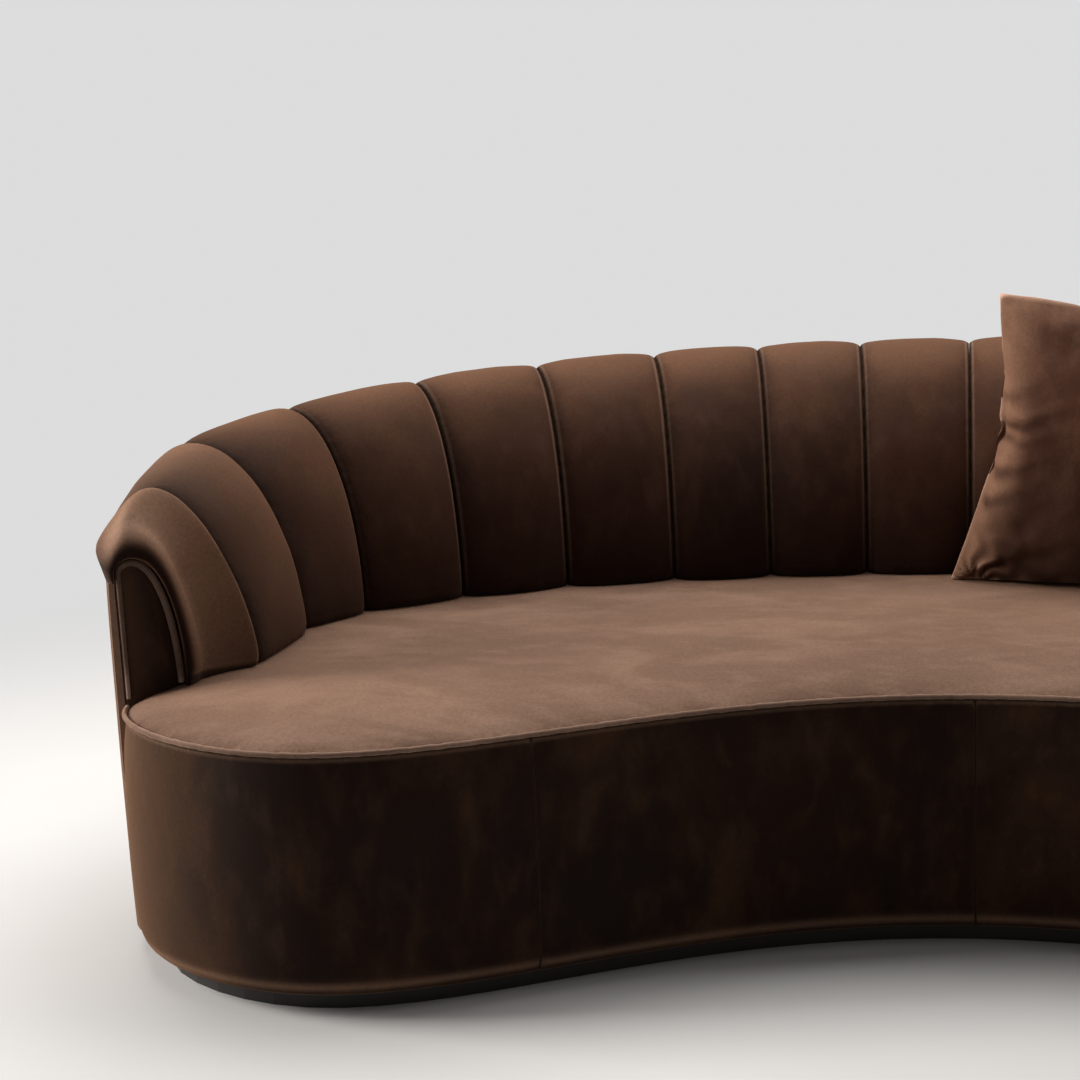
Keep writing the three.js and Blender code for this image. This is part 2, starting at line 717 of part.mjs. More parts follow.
// Moves each point of a profile out along its own normal, but keeps its two ends' heights
function swollen(line, amount) {
  const final = line.length - 1;
  return line.map(([across, z], i) => {
    const before = line[Math.max(i - 1, 0)];
    const after = line[Math.min(i + 1, final)];
    const run = point2(after[0] - before[0], after[1] - before[1]).normalize();
    const out = amount * swellRowShares[i];
    return [across - run.y * out, i === 0 || i === final ? z : z + run.x * out];
  });
}

const onSeat = (p) => seatTopAt(p) + standClear;
function channelSection(share, swell, thin) {
  const outer = swollen(profile(skinLine(share), seatTop), swell);
  const inner = profile(liningLine(share, 0), seatTop);
  const mixed = inner.map(([across, z], i) => [
    THREE.MathUtils.lerp(across, outer[i][0], thin),
    THREE.MathUtils.lerp(z, outer[i][1], thin),
  ]);
  const ring = [...outer, ...mixed.reverse()];
  ring[0] = [ring[0][0], onSeat];
  ring[ring.length - 1] = [ring[ring.length - 1][0], onSeat];
  return ring;
}

const swellShareAt = (x) => 1 - Math.abs(2 * x - 1) ** swellPower;
const lipReach = 20; // the arm's front roll stands this far in front of its panel
const noseSwellShares = [0, 0.7, 0.95, 0.75, 0.5]; // at the last channel's stations up to the panel
const lipShares = [
  [0.08, 0.48, 0.08], [0.6, 0.25, 0.3], [1, -0.3, 0.6],
]; // of the lip's reach, of the swell, and of the thinning towards its rounded end
const noseStations = between(backHalf, lastSeam + backSlit, 1);

for (const [side, name] of halves) {
  for (let i = 0; i + 1 < seamShares.length; i++) {
    const width = seamShares[i + 1] - seamShares[i];
    const stations = between(backHalf, seamShares[i] + backSlit, seamShares[i + 1] - backSlit);
    add(`channel_${name}_${i + 1}`, sweep(onBack, sided(side, stations), (share) => {
      const x = (Math.abs(share) - seamShares[i]) / width;
      return channelSection(share, channelSwell * swellShareAt(x), 0);
    }), 'velvet');
  }
  const sections = [
    ...noseStations.map((share, i) => [share, noseSwellShares[i], 0]),
    ...lipShares.map(([x, swell, thin]) => [1 + (x * lipReach) / backLength, swell, thin]),
  ];
  const shapes = new Map(sections.map(([share, swell, thin]) => (
    [side * share, [channelSwell * swell, thin]]
  )));
  add(`channel_${name}_${seamShares.length}`, sweep(onBack, [...shapes.keys()], (share) => (
    channelSection(share, ...shapes.get(share))
  )), 'velvet');
}

// Throw pillow: a knife-edged velvet square that leans on the back beside the middle
const pillowSide = 512;
const pillowFront = 108; // its belly stands this far in front of its edges
const pillowBack = 22; // and this far behind them, where the back presses it flat
const pillowSag = 42; // its belly hangs down by this much
const pillowPinchShare = 0.12; // share by which each free side is drawn in between its corners
const pillowSplayShare = 0.09; // it is wider at its foot and narrower at its top by this share
const pillowSlumpShare = 0.08; // sideways lean of its upright sides
const pillowFullness = 1.1; // power that makes its rim thinner than an ellipse
const pillowLean = THREE.MathUtils.degToRad(10);
const pillowTurn = THREE.MathUtils.degToRad(-7);
const pillowX = 276;
const pillowDepth = 26; // its middle stands this far in front of the seam line
const pillowCells = 12;
const pillowRise = 0.6; // its lower side stands this far above the seat
function pillowPoint(i, j, way) {
  const u = Math.sin((Math.PI / 2) * ((2 * i) / pillowCells - 1));
  const v = Math.sin((Math.PI / 2) * ((2 * j) / pillowCells - 1));
  const half = pillowSide / 2;
  const bulge = Math.sqrt(Math.max((1 - u ** 2) * (1 - v ** 2), 0)) ** pillowFullness;
  const drawn = half * u * (1 - pillowPinchShare * (1 - v ** 2));
  const x = drawn * (1 - pillowSplayShare * v) + pillowSlumpShare * half * v;
  const topPinch = v > 0 ? pillowPinchShare * (1 - u ** 2) : 0;
  const z = half * v * (1 - topPinch);
  return way > 0
    ? new THREE.Vector3(x, pillowBack * bulge, z)
    : new THREE.Vector3(x, -pillowFront * bulge, Math.max(z - pillowSag * bulge, -half));
}
function pillowGeometry() {
  const index = new Map();
  const positions = [];
  const corner = (i, j, way) => {
    const onEdge = i % pillowCells === 0 || j % pillowCells === 0;
    const key = `${i},${j},${onEdge ? 0 : way}`;
    if (!index.has(key)) {
      index.set(key, positions.length / 3);
      positions.push(...pillowPoint(i, j, onEdge ? 0 : way).toArray());
    }
    return index.get(key);
  };
  const faces = [];
  for (let i = 0; i < pillowCells; i++) {
    for (let j = 0; j < pillowCells; j++) {
      for (const way of [-1, 1]) {
        const [a, b] = [corner(i, j, way), corner(i + 1, j, way)];
        const [c, d] = [corner(i + 1, j + 1, way), corner(i, j + 1, way)];
        const turned = (2 * i < pillowCells) === (2 * j < pillowCells);
        const cut = turned ? [a, b, c, a, c, d] : [a, b, d, b, c, d];
        faces.push(...(way > 0 ? cut.reverse() : cut));
      }
    }
  }
  return facingOut(positions, faces);
}
const pillow = add('throw_pillow', pillowGeometry(), 'pillowVelvet');
pillow.rotation.set(-pillowLean, 0, pillowTurn, 'ZXY');
const pillowHalfHeight = (pillowSide / 2) * Math.cos(pillowLean);
pillow.position.set(pillowX, -pillowDepth, seatTop + pillowRise + pillowHalfHeight);

// The origin lies on the floor, at the middle of the whole sofa's width and depth
const middle = new THREE.Box3().setFromObject(sofa, true).getCenter(new THREE.Vector3());
sofa.position.y = -middle.y;

export default sofa;
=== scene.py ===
import json
import math

import bpy
import numpy as np
from mathutils import Matrix, Vector, bvhtree, noise


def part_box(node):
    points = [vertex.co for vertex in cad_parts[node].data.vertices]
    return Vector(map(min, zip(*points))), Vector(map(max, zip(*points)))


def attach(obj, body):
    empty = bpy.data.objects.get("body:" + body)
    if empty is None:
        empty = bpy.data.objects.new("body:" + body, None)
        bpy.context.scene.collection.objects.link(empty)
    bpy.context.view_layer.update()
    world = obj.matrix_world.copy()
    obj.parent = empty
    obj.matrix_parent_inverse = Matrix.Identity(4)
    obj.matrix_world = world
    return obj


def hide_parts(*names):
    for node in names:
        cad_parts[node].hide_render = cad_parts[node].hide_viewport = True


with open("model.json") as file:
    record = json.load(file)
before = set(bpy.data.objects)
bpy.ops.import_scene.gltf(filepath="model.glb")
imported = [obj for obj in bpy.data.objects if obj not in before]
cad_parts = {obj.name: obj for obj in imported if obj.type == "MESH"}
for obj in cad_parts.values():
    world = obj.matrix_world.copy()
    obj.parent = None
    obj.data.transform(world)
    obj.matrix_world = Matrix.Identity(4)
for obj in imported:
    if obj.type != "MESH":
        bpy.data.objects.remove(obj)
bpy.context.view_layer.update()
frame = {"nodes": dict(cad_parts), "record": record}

scene = bpy.context.scene

# ----------
# The sofa's sizes, in millimetres, as the CAD model has them. X = 0 is the middle, and the seam
# line at the seat is Y = 0 until everything moves back by SHIFT.
SEAT_HEIGHT, SEAT_CROWN, CROWN_SPREAD, CROWN_POWER = 415, 35, 300, 2.5
SEAT_TOP = SEAT_HEIGHT + SEAT_CROWN
BACK_HEIGHT, BASE_LOW, WEBBING_LOW = 839, 33, 318.4
INNER_REACH, CREST_REACH, BASE_REACH = 150, 135, 70
BACK_HALF_SPAN, CORNER_DEPTH = 1275, 600
WAIST_DEPTH, BELLY_DEPTH, BELLY_HALF_SPAN = 677, 1010, 980
FRONT_START_REACH, FRONT_END, FRONT_STEPS = 62, .995, 24
OUTSIDE_BACK, FACING_PANEL, LIP_REACH = 12, 14, 20
GAP, SEAM_GAP = 0.4, 0.6
FOOT_DEPTH = 400
foot_low, foot_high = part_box("middle_foot_left")
SHIFT = (foot_low.y + foot_high.y) / 2 * 1000 + FOOT_DEPTH
SIDES = ((-1, "left"), (1, "right"))
LINE_STEPS, EDGE_STEPS = 400, 320


def lerp(a, b, t):
    return a + (b - a) * t


def cubic(t, a, b, c, d):
    """The place at t on a curve from a to d with the handles b and c."""
    return a * (1 - t) ** 3 + 3 * b * t * (1 - t) ** 2 + 3 * c * t ** 2 * (1 - t) + d * t ** 3


def ramp(x, start, run):
    """0 up to the start, then a straight rise to 1 over the run."""
    return np.clip((x - start) / run, 0, 1)


def hump(x, middle, width):
    """1 at the middle, fading on both sides of it."""
    return np.exp(-((x - middle) / width) ** 2)


def unit(vectors):
    return vectors / np.maximum(np.linalg.norm(vectors, axis=-1, keepdims=True), 1e-9)


def spread(values, count):
    """Each section's value, repeated for the section's points."""
    return np.repeat(values[:, None], count, 1)


class Line:
    """A curve from the middle to the left arm. Shares run from -1, left, to 1, right."""

    def __init__(self, points):
        points = np.array(points, float)
        t = np.linspace(0, 1, LINE_STEPS, endpoint=False)[:, None]
        fours = zip(points[0::3], points[1::3], points[2::3], points[3::3])
        self.points = np.concatenate([*(cubic(t, *four) for four in fours), points[-1:]])
        steps = np.linalg.norm(np.diff(self.points, axis=0), axis=1)
        self.along = np.concatenate([[0], np.cumsum(steps)])
        self.length = self.along[-1]
        self.run = unit(np.gradient(self.points, self.along, axis=0))

    def place(self, share, across):
        """X and Y of places at a share along, and across it: outwards or, in front, inwards."""
        share, across = np.broadcast_arrays(np.asarray(share, float), np.asarray(across, float))
        at = np.minimum(np.abs(share), 1) * self.length
        beyond = np.maximum(np.abs(share) - 1, 0) * self.length
        x, y = (np.interp(at, self.along, self.points[:, k]) for k in (0, 1))
        dx, dy = (np.interp(at, self.along, self.run[:, k]) for k in (0, 1))
        x, y = x + dx * beyond + dy * across, y + dy * beyond - dx * across
        return np.where(share > 0, -x, x), y


# The back line's curve, in shares of its half span and of its corner's depth
back_shares = [[0, 0], [.55, 0], [.976, .4], [1, 1], [1.006, 1.16], [1.015, 1.343], [.99, 1.463]]
back_line = Line([(-x * BACK_HALF_SPAN, INNER_REACH - y * CORNER_DEPTH) for x, y in back_shares])
arm_corner = [float(v) for v in back_line.place(-1, FRONT_START_REACH)]
belly_to_arm = arm_corner[0] + BELLY_HALF_SPAN
front_line = Line([
    (0, -WAIST_DEPTH),
    (-BELLY_HALF_SPAN * .459, -WAIST_DEPTH),
    (-BELLY_HALF_SPAN * .714, -BELLY_DEPTH),
    (-BELLY_HALF_SPAN, -BELLY_DEPTH),
    (-BELLY_HALF_SPAN + belly_to_arm * .503, -BELLY_DEPTH),
    (arm_corner[0], arm_corner[1] - (BELLY_DEPTH + arm_corner[1]) * .44),
    arm_corner,
])


def edge_distance(x, y):
    """How far places lie from the seat's front edge."""
    ex, ey = front_line.place(np.linspace(-1, 1, EDGE_STEPS + 1), 0)
    ax, ay, bx, by = ex[:-1], ey[:-1], np.diff(ex), np.diff(ey)
    px, py = (np.asarray(v, float)[..., None] - a for v, a in ((x, ax), (y, ay)))
    t = np.clip((px * bx + py * by) / (bx ** 2 + by ** 2), 0, 1)
    return np.sqrt((px - t * bx) ** 2 + (py - t * by) ** 2).min(-1)


def seat_top(x, y):
    """The height of the seat's crowned top at places."""
    share = np.minimum(edge_distance(x, y) / CROWN_SPREAD, 1)
    return SEAT_HEIGHT + SEAT_CROWN * (1 - (1 - share) ** CROWN_POWER)


# ----------
# The back's profile. Pairs hold the values at the middle and at the arm, and the values with
# NOSE hold those at the arm's very front.
SEAMS = [0, .108, .21, .313, .43, .55, .68, .812, .965]
LAST_SEAM, LAST_CHANNEL = SEAMS[-1], len(SEAMS) - 1
CREST_DROP_SHARE, CREST_DROP_POWER, NOSE_DROP = .272, 1.58, 20
CREST, CREST_NOSE = (CREST_REACH, -8), 40
ROLL_OUT, ROLL_OUT_NOSE = (42, 88), 6
ROLL_DEPTH, ROLL_DEPTH_NOSE = (60, 85), 68
TUCK_IN, TUCK_IN_NOSE = 12, 2
TUCK_DOWN, TUCK_DOWN_NOSE = 22, 34
INNER_NOSE = 46
PADDING, PADDING_NOSE, PADDING_NOSE_TOP = 40, 13, 68
# Where the handles of the profile's curves lie, as shares, for full and for slim shoulders
LEAN, RISE, SHOULDER, ROLL_FALL = (.64, .38), (.52, .36), (.58, .25), (.5, .9)
UP_ROWS, OVER_ROWS, TUCK_ROWS = 26, 12, 4
up_places = np.concatenate([[0, .008, .02, .038], np.linspace(.06, 1, UP_ROWS - 3)])
# Each row's place: 0 at the seat, 5 at the crest, 7 at the end of the roll and 8 in its tuck
row_places = np.concatenate([
    up_places * 5, np.linspace(5, 7, OVER_ROWS + 1)[1:], np.linspace(7, 8, TUCK_ROWS + 1)[1:],
])
# How much of a channel's swell and of its seams' dip each row has
SWELL_ROWS = np.interp(row_places, range(9), [1, 1, 1, .95, .7, .34, .27, .2, .1])
DIP_ROWS = np.interp(row_places, range(9), [1, 1, 1, 1, .8, .36, .3, .25, .1])


def nose_share(share):
    return ramp(np.abs(share), LAST_SEAM, 1 - LAST_SEAM)


def to_nose(share, usual, nose):
    return lerp(usual, nose, nose_share(share))


def to_arm(share, power, pair):
    return lerp(*pair, np.minimum(np.abs(share), 1) ** power)


def slimness(share):
    """How far the roll's shoulders fall away: 0 at the middle, 1 at the arm."""
    return ramp(np.abs(share), .7, .265) ** 1.4


def crest_height(share):
    """The roll's height, which falls to the arm."""
    away = np.abs(share)
    drop = (BACK_HEIGHT - SEAT_TOP) * CREST_DROP_SHARE * np.minimum(away, 1) ** CREST_DROP_POWER
    ease = 6 * hump(away, .52, .15) - 9 * hump(away, 0, .2)
    return BACK_HEIGHT - drop + ease - NOSE_DROP * nose_share(share) ** 2


def skin_line(share):
    """The main places of the profile's outside: reaches across the back line, and heights."""
    top = crest_height(share)
    crest = to_arm(share, 1.8, CREST)
    outer = crest + to_arm(share, 2, ROLL_OUT)
    low = top - to_nose(share, to_arm(share, 3, ROLL_DEPTH), ROLL_DEPTH_NOSE)
    return dict(
        inner=to_nose(share, INNER_REACH, INNER_NOSE), crest=to_nose(share, crest, CREST_NOSE),
        top=top, outer=outer + ROLL_OUT_NOSE * nose_share(share), low=low,
        end_reach=outer - to_nose(share, TUCK_IN, TUCK_IN_NOSE),
        end=low - to_nose(share, TUCK_DOWN, TUCK_DOWN_NOSE),
    )


def lining_line(share, clear=0.0):
    """The same for the inside of the padding, drawn in further by a clearance."""
    line = skin_line(share)
    top = line["top"] - to_nose(share, PADDING, PADDING_NOSE_TOP) - clear
    wall = line["end_reach"] - OUTSIDE_BACK - GAP - clear
    return dict(
        inner=line["inner"] - to_nose(share, PADDING, PADDING_NOSE) - clear,
        crest=line["crest"], top=top, outer=wall,
        low=np.minimum(line["end"] + OUTSIDE_BACK, top - 10), end_reach=wall, end=line["end"],
    )


def profile(line, foot, slim=0.0):
    """Rows of [across, height] from the seat up and over the roll, for one share."""
    inner, crest, top, outer = (line[key] for key in ("inner", "crest", "top", "outer"))
    low, rise = line["low"], top - foot
    lean = crest - lerp(*LEAN, slim) * (crest + inner)
    t = up_places
    up = np.stack([cubic(t, -inner, -inner, lean, crest),
                   cubic(t, foot, foot + lerp(*RISE, slim) * rise, top, top)], 1)
    t = np.linspace(0, 1, OVER_ROWS + 1)[1:]
    shoulder = crest + lerp(*SHOULDER, slim) * (outer - crest)
    over = np.stack([cubic(t, crest, shoulder, outer, outer),
                     cubic(t, top, top, top - (top - low) * lerp(*ROLL_FALL, slim), low)], 1)
    t = np.linspace(0, 1, TUCK_ROWS + 1)[1:, None]
    tuck = lerp(np.array([[outer, low]]), np.array([[line["end_reach"], line["end"]]]), t)
    return np.concatenate([up, over, tuck])


def outer_face(share, z):
    """How far across the outside back's face lies at a height."""
    line = skin_line(share)
    up = (z - BASE_LOW) / (line["end"] - GAP - BASE_LOW)
    return lerp(BASE_REACH, line["end_reach"], up)


# ----------
# Meshes
def rings_faces(rings, count):
    """Quads between closed rings of count points, and strips of quads over both ends."""
    r = np.arange(rings - 1)[:, None] * count
    i = np.arange(count)[None, :]
    j = (i + 1) % count
    faces = np.stack([r + i, r + j, r + j + count, r + i + count], -1).reshape(-1, 4).tolist()
    for k in range(count // 2 - 1):
        first = [k, k + 1, count - 2 - k, count - 1 - k]
        faces.append(first[::-1])
        faces.append([(rings - 1) * count + n for n in first])
    return faces


def signed_volume(points, faces):
    """Six times the volume inside the faces, below 0 where they face inwards."""
    return sum(np.dot(points[face[0]], np.cross(points[m], points[n]))
               for face in faces for m, n in zip(face[1:-1], face[2:]))


def linked(name, data):
    """A new object in the scene, with that data."""
    obj = bpy.data.objects.new(name, data)
    scene.collection.objects.link(obj)
    return obj


def mesh_object(name, points, faces):
    mesh = bpy.data.meshes.new(name)
    mesh.from_pydata(points, [], faces)
    return linked(name, mesh)


def build(name, points, material, nodes, slot="velvet", faces=None, body="sofa", crease=50,
          in_metres=False, **marks):
    """A piece that stands for CAD nodes and rides on a body. Its points are closed sections, or
    have faces. Marks are numbers kept at them for its material: how near a seam is, wear on a
    ridge (rim), and nap that is brushed to its paler side or to its darker one (dim)."""
    faces = faces or rings_faces(*points.shape[:2])
    points = points.reshape(-1, 3)
    if signed_volume(points, faces) < 0:
        faces = [face[::-1] for face in faces]
    if not in_metres:
        points = (points + [0, SHIFT, 0]) * .001
    obj = mesh_object(name, points.tolist(), faces)
    mesh = obj.data
    for mark, values in marks.items():
        mesh.attributes.new(mark, "FLOAT", "POINT").data.foreach_set("value", np.ravel(values))
    mesh.shade_smooth()
    mesh.set_sharp_from_angle(angle=math.radians(crease))
    mesh.materials.append(material)
    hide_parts(*nodes)
    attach(obj, body)
    return obj


def ripple(points, size, seed):
    """Smooth noise from -1 to 1 at each point, of features about that size."""
    offset = Vector((seed * 7.31, seed * 3.17, seed * 1.93))
    values = [noise.noise(Vector(p) / size + offset) for p in points.reshape(-1, 3)]
    return np.reshape(values, points.shape[:-1])


def at_height(place, z):
    """Points at a pair of X and Y and at a height."""
    return np.stack([*place, z + 0 * place[0]], -1)


def sections(line, shares, rows):
    """Points for sections: rows[k] holds the [across, height] rows at shares[k]."""
    rows = np.array(rows)
    return at_height(line.place(shares[:, None], rows[..., 0]), rows[..., 1])


def edge_dense(count):
    """Shares from 0 to 1 that lie closer together near both ends."""
    t = np.linspace(0, 1, count + 1)
    return t - .8 * np.sin(2 * math.pi * t) / (2 * math.pi)


# ----------
# Materials
def linear(*rgb):
    """Linear colour of sRGB values from 0 to 255."""
    return [((c / 255 + .055) / 1.055) ** 2.4 if c > 10 else c / 255 / 12.92 for c in rgb] + [1]


def shaded(colour, share):
    """A linear colour at a share of its light."""
    return [c * share for c in colour[:3]] + [1]


class Nodes:
    """The node tree of a material or a world, with short ways to add and join nodes."""

    def __init__(self, name, owners=bpy.data.materials):
        self.owner = owners.new(name)
        self.owner.use_nodes = True
        self.tree = self.owner.node_tree
        self.place = self.add("ShaderNodeTexCoord").outputs["Object"]

    def add(self, kind, inputs=(), **settings):
        node = self.tree.nodes.new(kind)
        for key, value in settings.items():
            setattr(node, key, value)
        for key, value in dict(inputs).items():
            self.put(node.inputs[key], value)
        return node

    def put(self, socket, value):
        if isinstance(value, bpy.types.NodeSocket):
            self.tree.links.new(value, socket)
        else:
            socket.default_value = value

    def surface(self, **values):
        """Sets inputs of the shader, by their names with underscores for spaces."""
        for key, value in values.items():
            self.put(self.tree.nodes["Principled BSDF"].inputs[key.replace("_", " ")], value)
        return self.owner

    def show(self, share, first, second):
        """Shows one shader, and by a share another."""
        mixed = self.add("ShaderNodeMixShader", {
            0: share, 1: first.outputs[0], 2: second.outputs[0]})
        self.put(self.tree.get_output_node("ALL").inputs["Surface"], mixed.outputs[0])
        return self.owner

    def noise(self, scale, detail=3.0, rough=.5, distortion=0.0, vector=None):
        return self.add("ShaderNodeTexNoise", {
            "Vector": vector or self.place, "Scale": scale, "Detail": detail,
            "Roughness": rough, "Distortion": distortion}).outputs["Fac"]

    def bands(self, way, scale, **inputs):
        return self.add("ShaderNodeTexWave", {"Vector": self.place, "Scale": scale, **inputs},
                        bands_direction=way).outputs["Fac"]

    def mark(self, name):
        """Numbers that build() keeps at a piece's points, 0 where it has none."""
        return self.add("ShaderNodeAttribute", attribute_name=name).outputs["Fac"]

    def geometry(self, name):
        return self.add("ShaderNodeNewGeometry").outputs[name]

    def facing_up(self):
        """1 on what faces up, 0 on what is upright."""
        return self.add("ShaderNodeSeparateXYZ", {0: self.geometry("Normal")}).outputs["Z"]

    def stretched(self, scale):
        node = self.add("ShaderNodeMapping", {"Vector": self.place, "Scale": scale})
        return node.outputs["Vector"]

    def span(self, value, low, high, to_low=0.0, to_high=1.0):
        return self.add("ShaderNodeMapRange", {0: value, 1: low, 2: high, 3: to_low, 4: to_high},
                        interpolation_type="SMOOTHSTEP").outputs[0]

    def mix(self, share, a, b, way="MIX"):
        return self.add("ShaderNodeMix", {0: share, 6: a, 7: b}, data_type="RGBA",
                        blend_type=way).outputs[2]

    def towards(self, colour, share, most, other):
        """The colour mixed towards another by a share of at most so much."""
        return self.mix(self.math("MULTIPLY", share, most), colour, other)

    def math(self, way, a, b):
        return self.add("ShaderNodeMath", {0: a, 1: b}, operation=way).outputs[0]

    def bump(self, height, strength, distance, normal=None):
        inputs = {"Height": height, "Strength": strength, "Distance": distance}
        if normal is not None:
            inputs["Normal"] = normal
        return self.add("ShaderNodeBump", inputs).outputs["Normal"]


# The sheen is warmer than the ridges' wear and painted highlight by these shares of red, green
# and blue
WARM_SHARES = (1, .82, .66, 1)
# How much of the deep colour's light is left in the painted shade, and in the painted shade by
# the seams
DIM_SHARE, SEAM_SHARE = .6, .3


def velvet(name, deep, mid, light, tint, sheen=.6, painted_top_light=.6, ridge=.5, patch=.45,
           strokes=(1, 1, .5)):
    """Cotton velvet: soft patches of pile brushed two ways, painted light on what faces up, wear
    and a painted highlight on ridges, painted light and painted shade by marks, painted shade in
    the grooves with small gathers at the seams, and a fine pile in its bump."""
    n = Nodes(name)
    deep, mid, light, tint = (linear(*colour) for colour in (deep, mid, light, tint))
    stroked = n.stretched(strokes)
    marks, streaks = n.noise(6.5, 4, .55, .5, stroked), n.noise(26, 3, .55, .2, stroked)
    pile, fleck = n.noise(850, 2, .7), n.noise(190, 3, .6)
    seam, rim, nap, dim = (n.mark(mark) for mark in ("seam", "rim", "nap", "dim"))
    up, worn = n.facing_up(), n.span(n.geometry("Pointiness"), .52, .6)
    colour = n.mix(n.span(n.noise(2.2, 3, .5, .3, stroked), .3, .7), deep, mid)
    # Paler patches and streaks of pile, then painted light on what faces up, as if lit from above
    for value, low, high, most in (
        (marks, .42, .7, patch), (streaks, .45, .75, patch * .6),
        (up, .2, .95, painted_top_light * .35), (up, .72, 1.0, painted_top_light * .8),
    ):
        colour = n.towards(colour, n.span(value, low, high), most, light)
    # Painted light, by a mark at the points
    colour = n.mix(nap, colour, light)
    # Wear on sharp edges, and wear with a painted highlight on ridges, towards the tint
    colour = n.towards(colour, n.math("MAXIMUM", worn, rim), ridge, tint)
    # Painted shade, by a mark at the points
    colour = n.mix(dim, colour, shaded(deep, DIM_SHARE))
    # Painted shade in the grooves by the seams
    colour = n.towards(colour, n.span(seam, .55, .97), .88, shaded(deep, SEAM_SHARE))
    flecks = n.mix(n.span(fleck, .3, .7), [.88, .88, .88, 1], [1.08, 1.08, 1.08, 1])
    soft = n.bump(marks, .3, .003)
    gathered = n.bump(n.math("MULTIPLY", n.noise(58, 2, .5), seam), .8, .006, soft)
    return n.surface(
        Base_Color=n.mix(1.0, colour, flecks, "MULTIPLY"),
        Roughness=n.span(marks, .3, .7, .8, .95), Specular_IOR_Level=.12,
        Sheen_Weight=sheen, Sheen_Roughness=.38,
        Sheen_Tint=[c * share for c, share in zip(tint, WARM_SHARES)],
        Normal=n.bump(pile, .35, .0006, gathered))


def plywood():
    """Pale grain on the faces, and thin dark layers on the edges."""
    n = Nodes("plywood")
    grain = n.noise(9, 6, .6, .8, n.stretched((1, 9, 1)))
    layers = n.bands("Z", 170.0, Distortion=1.2, Detail=2.0)
    edge = n.math("SUBTRACT", 1.0, n.math("ABSOLUTE", n.facing_up(), 0.0))
    colour = n.mix(n.span(grain, .3, .7), linear(176, 138, 92), linear(206, 172, 124))
    colour = n.towards(colour, n.span(layers, .4, .6), n.math("MULTIPLY", edge, .5),
                       linear(132, 96, 62))
    return n.surface(Base_Color=colour, Roughness=n.span(grain, .2, .8, .55, .8),
                     Normal=n.bump(grain, .25, .0006))


def stained_black():
    n = Nodes("plinth_black")
    grain = n.noise(6, 6, .65, .5, n.stretched((1, 1, 14)))
    return n.surface(
        Base_Color=n.mix(n.span(grain, .3, .75), linear(16, 13, 11), linear(40, 34, 30)),
        Roughness=n.span(grain, .2, .8, .45, .7), Normal=n.bump(grain, .3, .0005))


def woven(name, dark, light, scale):
    """Plain woven cloth: warp and weft bands crossed."""
    n = Nodes(name)
    weave = n.math("MULTIPLY", n.bands("X", scale), n.bands("Y", scale))
    dust = n.noise(5, 4, .6)
    colour = n.mix(weave, linear(*dark), linear(*light))
    colour = n.towards(colour, n.span(dust, .5, .8), .3, linear(*light))
    return n.surface(Base_Color=colour, Roughness=n.span(dust, .3, .7, .85, 1.0),
                     Normal=n.bump(weave, .4, .0005))


def foam():
    n = Nodes("foam")
    pores = n.add("ShaderNodeTexVoronoi", {"Vector": n.place, "Scale": 420.0}).outputs["Distance"]
    age = n.noise(4, 4, .6)
    return n.surface(
        Base_Color=n.mix(n.span(age, .35, .7), linear(232, 222, 190), linear(210, 190, 140)),
        Roughness=n.span(pores, 0, .5, .98, .85), Normal=n.bump(pores, .5, .001))


# Each velvet: its deep, middle and light colours, the tint of its ridges' wear and painted
# highlight, and its settings. They are copies of one velvet, painted lighter or darker for each
# piece as light
# falls on it: lighter on the seat and its piping, darker on the channels, the border and the arm
# fronts
VELVETS = {
    "channel": ((31, 12, 4), (46, 21, 9), (97, 68, 50), (178, 142, 120),
                dict(sheen=.22, painted_top_light=.8, ridge=.6, patch=.2)),
    "outside": ((46, 26, 16), (62, 39, 26), (92, 66, 50), (176, 142, 122),
                dict(sheen=.45, painted_top_light=.4, ridge=.4, patch=.35)),
    "seat": ((76, 53, 40), (97, 71, 56), (136, 108, 92), (196, 164, 144),
             dict(sheen=.42, painted_top_light=.45, patch=.7, strokes=(.7, 1.5, 1))),
    "border": ((20, 8, 4), (33, 16, 8), (90, 63, 42), (158, 124, 100),
               dict(sheen=.35, painted_top_light=.4, patch=.22)),
    "cord": ((74, 52, 40), (98, 74, 60), (128, 102, 86), (196, 166, 150), dict(sheen=.7)),
    "arm_cord": ((58, 42, 34), (76, 58, 49), (104, 84, 73), (176, 150, 136), {}),
    "facing": ((26, 13, 8), (40, 23, 15), (74, 51, 37), (140, 112, 96),
               dict(sheen=.35, patch=.3)),
    "pillow": ((46, 23, 13), (66, 38, 25), (122, 89, 70), (206, 168, 146),
               dict(sheen=.4, painted_top_light=.3, ridge=.75, patch=.28)),
}
velvets = {name: velvet(f"{name}_velvet", *colours, **settings)
           for name, (*colours, settings) in VELVETS.items()}
kept_materials = {"plywood": plywood(), "plinth_black": stained_black()}
slot_of = {part["node"]: part["material_slot"] for part in frame["record"]["subparts"]}
for node_name, node in frame["nodes"].items():
    material = kept_materials.get(slot_of.get(node_name))
    if material:
        node.data.materials.clear()
        node.data.materials.append(material)

# ----------
# Channels
CHANNEL_SWELL, FOOT_TUCK, TUCK_FADE = 23, 7, 7
SEAM_DIP, DIP_WIDTH = 14, 5
STAND_CLEAR = .8
# From this channel on, the swell leans more and more to the arm's side
FIRST_BENT, BENT_COUNT = 4, 3
# How much painted light each channel has, which makes it paler
PAINTED_LIGHT_SHARES = [0, 0, 0, 0, .05, .12, .4, .85, 1]
# How dark the painted shade on the arm's side of each channel is, and how far across that reaches
DIM_SHARES = [.2, .2, .25, .3, .5, .7, .85, .85]
DIM_REACHES = [.25, .25, .25, .3, .4, .52, .64, .75]
